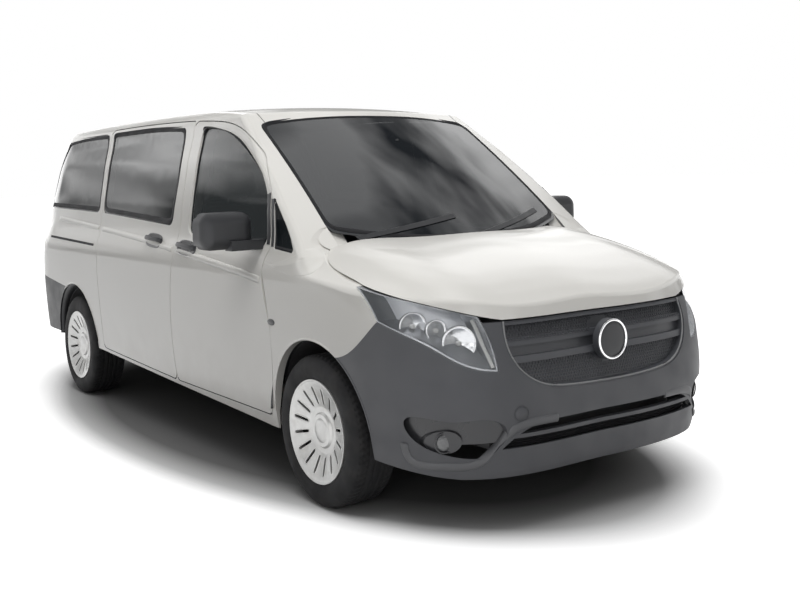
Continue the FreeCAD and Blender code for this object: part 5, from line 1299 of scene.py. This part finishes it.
def stuffed(name, size, edge, cap):
    """A rounded block blown up as cloth: voxel mesh, then pressure with no gravity, its movement capped."""
    points, faces = rounded_box(size, edge, 6)
    mesh = bpy.data.meshes.new(name)
    mesh.from_pydata(points.tolist(), [], faces.tolist())
    made = placed(name, mesh)
    weld = made.modifiers.new("weld", "WELD")
    weld.merge_threshold = pad_weld
    voxels = made.modifiers.new("voxels", "REMESH")
    voxels.mode = "VOXEL"
    voxels.voxel_size = pad_voxel
    baked = bpy.data.meshes.new_from_object(made.evaluated_get(bpy.context.evaluated_depsgraph_get()))
    made.modifiers.clear()
    made.data = baked
    place = np.empty(len(baked.vertices) * 3)
    baked.vertices.foreach_get("co", place)
    place = place.reshape(-1, 3)
    blown = made.modifiers.new("cloth", "CLOTH")
    settings = blown.settings
    settings.quality = 4
    settings.mass = 0.3
    settings.use_pressure = True
    settings.uniform_pressure_force = pad_pressure
    settings.tension_stiffness = 14.0
    settings.bending_stiffness = 0.4
    settings.effector_weights.gravity = 0.0
    blown.point_cache.frame_start = 1
    blown.point_cache.frame_end = pad_frames
    for number in range(1, pad_frames + 1):
        bpy.context.scene.frame_set(number)
    moved = np.empty(place.size)
    cloth_mesh = made.evaluated_get(bpy.context.evaluated_depsgraph_get()).data
    cloth_mesh.vertices.foreach_get("co", moved)
    shift = moved.reshape(-1, 3) - place
    length = np.linalg.norm(shift, axis=1)[:, None]
    place = place + shift * np.minimum(1.0, cap / np.maximum(length, 1e-9))
    made.modifiers.clear()
    bpy.context.scene.frame_set(1)
    faces = np.empty(len(baked.loops), int)
    baked.loops.foreach_get("vertex_index", faces)
    bpy.data.objects.remove(made)
    return place, faces.reshape(-1, 4)


def channelled(points, normal_axis, along_axis, places, depth):
    """Sewn channels: points on the front face sink by depth exp(-(d / width)^2) along each line."""
    front = points[:, normal_axis] > 0.25 * points[:, normal_axis].max()
    sink = sum(np.exp(-((points[:, along_axis] - place) / channel_width) ** 2) for place in places)
    out = points.copy()
    out[:, normal_axis] -= depth * sink * front
    return out


def leaned(points, x):
    """Points turned back about the line through (x, the cushion's base) by the seat's lean: (x', z') =
    (dx cos a - dz sin a, dx sin a + dz cos a)."""
    dx, dz = points[:, 0] - x, points[:, 2] - lean_z
    c, s = math.cos(seat_lean), math.sin(seat_lean)
    return np.stack([x + dx * c - dz * s, points[:, 1], lean_z + dx * s + dz * c], -1)


def seats():
    """Padded seats for the three rows: one blown-up cushion, back and head rest, copied and fitted to each
    seat, with a base, a pan and two posts."""
    cushion, cushion_faces = stuffed("cushion_form", cushion_size, 0.045, 0.006)
    cushion = channelled(cushion, 2, 1, long_channels, long_channel_depth)
    cushion = channelled(cushion, 2, 0, cushion_cross_channels, cross_channel_depth)
    back, back_faces = stuffed("back_form", back_size, 0.045, 0.006)
    back = channelled(back, 0, 1, long_channels, long_channel_depth)
    back = channelled(back, 0, 2, back_cross_channels, cross_channel_depth)
    head, head_faces = stuffed("head_form", head_size, 0.036, 0.004)
    base, base_faces = rounded_box(base_size, 0.020, 3)
    pan, pan_faces = rounded_box(pan_size, 0.012, 3)
    post, post_faces = turned(post_profile, (0, 0, 0), (0, 0, 1), 14)
    for row, x, places, width in seat_rows:
        scale = np.array([1.0, width / seat_width, 1.0])
        back_x = x - back_behind
        sets = {"cushions": [], "backs": [], "heads": [], "frames": [], "posts": []}
        for y in places:
            sets["cushions"].append((cushion * scale + (x, y, cushion_z), cushion_faces))
            sets["backs"].append((leaned(back * scale + (back_x, y, back_z), back_x), back_faces))
            sets["heads"].append((leaned(head + (back_x, y, head_z), back_x), head_faces))
            sets["frames"].append((base + (x, y, base_z), base_faces))
            sets["frames"].append((pan * scale + (x, y, pan_z), pan_faces))
            for side in post_sides:
                sets["posts"].append((leaned(post + (back_x, y + side, post_z), back_x), post_faces))
        short = row.split("_")[0]
        for kind in ("cushions", "backs", "heads"):
            made = piece("%s_seat_%s" % (short, kind), *joined(sets[kind]), "seat_fabric")
        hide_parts(row)
        piece(short + "_seat_frames", *joined(sets["frames"]), "dash_plastic")
        piece(short + "_seat_posts", *joined(sets["posts"]), "chrome", slot="steel")


# Cabin: where its rays start, the mirror's height and its distance from the glass, and the vents' slats.
cabin_x = 0.3
cabin_mirror_z, cabin_mirror_gap = 1.640, 0.064
stalk_profile = ((0.0, 0.0), (0.007, 0.0), (0.007, 0.060), (0.0, 0.060))
vent_middles = (-0.700, -0.090, 0.090, 0.700)
slat_heights = 0.930 + 0.014 * np.arange(4)


def cabin_details():
    """Interior mirror under the windscreen and slatted vents on the dashboard's face, each placed by a ray
    from the cabin."""
    ahead = np.array([1.0, 0.0, 0.0])
    glass, _ = cast(["windscreen"], np.array([[cabin_x, 0.0, cabin_mirror_z]] * 2), ahead)
    shell, faces = rounded_box((0.030, 0.230, 0.062), 0.014, 4)
    stalk, stalk_faces = turned(stalk_profile, (0, 0, 0), (1, 0, 0.25), 14)
    place = glass[0] - (cabin_mirror_gap, 0.0, 0.0)
    piece("cabin_mirror", *joined([(shell + place, faces), (stalk + place, stalk_faces)]), "black_trim")
    slat, slat_faces = rounded_box((0.012, 0.110, 0.005), 0.002, 2)
    vents = []
    for y in vent_middles:
        origins = np.array([(cabin_x, y, z) for z in slat_heights])
        vents += [(slat + place, slat_faces) for place in cast(["dashboard"], origins, ahead)[0]]
    piece("dashboard_vents", *joined(vents), "black_trim")


# Studio: the sky's strengths, the floor and the half sizes of the ellipse that bounds its painted shadow
# under the vehicle, and the lamps with place, target, size and power.
ambient = 0.10
zenith = 0.38
floor_bounce = 0.20
floor_half_size = 90.0
painted_shadow_reach = (2.75, 1.30)
lamps = (
    ("overhead", (2.6, -1.6, 6.5), (0.5, -0.2, 0.6), 4.5, 205.0),
    ("front_fill", (8.0, -6.0, 2.8), (1.2, -0.3, 0.8), 4.0, 105.0),
)


def watched(tree):
    """One for camera, glossy and transmission rays, so that light thrown on by the backdrop can differ from
    its looks."""
    path = node(tree, "LightPath")
    camera, glossy, through = (path.outputs["Is %s Ray" % kind]
                               for kind in ("Camera", "Glossy", "Transmission"))
    return arithmetic(tree, "MAXIMUM", camera, arithmetic(tree, "MAXIMUM", glossy, through))


def make_floor():
    """A wide floor, white to the camera with its shadows kept near the vehicle and a painted shadow, a dark
    grey ellipse, under it; glowing white farther out, and duller to other rays. The distance out is sqrt((x
    / a)^2 + (y / b)^2)."""
    made, tree, principled = shader("studio_floor", (0.93, 0.93, 0.93), 0.9, Specular_IOR_Level=0.0)
    drift = ranged(tree, noise(tree, 0.4, 2.0), 0.3, 0.7)
    floor_colour = blended(tree, drift, (0.95, 0.95, 0.95), (0.97, 0.97, 0.97))
    looked = watched(tree)
    x, y = (arithmetic(tree, "DIVIDE", coordinate(tree, "Object", axis), reach)
            for axis, reach in zip("XY", painted_shadow_reach))
    out = arithmetic(tree, "SQRT", total(tree, product(tree, x, x), product(tree, y, y)))
    # Painted shadow: inside the ellipse under the vehicle the floor's colour drops to a dark grey of 0.20.
    floor_colour = blended(tree, ranged(tree, out, 0.80, 1.05), (0.20, 0.20, 0.20), floor_colour)
    tree.links.new(blended(tree, looked, (floor_bounce,) * 3, floor_colour), principled.inputs["Base Color"])
    glow = product(tree, ranged(tree, out, 0.95, 1.22), looked)
    tree.links.new(glow, principled.inputs["Emission Strength"])
    principled.inputs["Emission Color"].default_value = (1.0, 1.0, 1.0, 1.0)
    mesh = bpy.data.meshes.new("studio_floor")
    rim = [(x * floor_half_size, y * floor_half_size, 0.0) for x, y in ((-1, -1), (1, -1), (1, 1), (-1, 1))]
    mesh.from_pydata(rim, [], [(0, 1, 2, 3)])
    mesh.materials.append(made)
    placed("studio_floor", mesh)


def make_sky():
    """White to the camera; brighter overhead for soft daylight; and uneven patches, flatter than they are
    wide, where glass and lacquer mirror it."""
    world = bpy.data.worlds.new("studio_sky")
    world.use_nodes = True
    tree = world.node_tree
    sky = tree.nodes["Background"]
    path = node(tree, "LightPath")
    glossy, camera = path.outputs["Is Glossy Ray"], path.outputs["Is Camera Ray"]
    rise = coordinate(tree, "Generated", "Z")
    soft = total(tree, ambient, ranged(tree, rise, 0.35, 0.95, 0.0, zenith))
    patches = noise(tree, 1.7, 3.0, "Generated", (1.6, 1.6, 2.6))
    fading = ranged(tree, rise, 0.15, 0.75, 1.0, 0.45)
    mirrored_sky = product(tree, ranged(tree, patches, 0.42, 0.60, 0.15, 2.8), fading)
    direct = product(tree, soft, arithmetic(tree, "SUBTRACT", 1.0, glossy))
    mixed = total(tree, direct, product(tree, mirrored_sky, glossy))
    strength = total(tree, product(tree, mixed, arithmetic(tree, "SUBTRACT", 1.0, camera)), camera)
    tree.links.new(strength, sky.inputs["Strength"])
    sky.inputs["Color"].default_value = (1.0, 1.0, 1.0, 1.0)
    bpy.context.scene.world = world


def lights():
    """Soft area lamps: one wide above, one low in front."""
    for name, place, target, size, power in lamps:
        data = bpy.data.lights.new(name, "AREA")
        data.size = size
        data.energy = power
        lamp = placed(name, data)
        lamp.location = place
        lamp.rotation_euler = (Vector(target) - Vector(place)).to_track_quat("-Z", "Y").to_euler()
        lamp.visible_glossy = False


finish_nodes()
glass_borders()
door_bars()
pillar_feet()
swages()
arch_lips()
arch_liners()
pull_handles()
rail_slots()
side_lamps()
bumper_details()
intake()
grille_mesh()
grille_boss()
headlamps()
fog_lamps()
tyres()
cover_details()
mirrors()
seats()
cabin_details()
make_floor()
make_sky()
lights()
make_camera()
bpy.context.scene.view_settings.view_transform = "Standard"
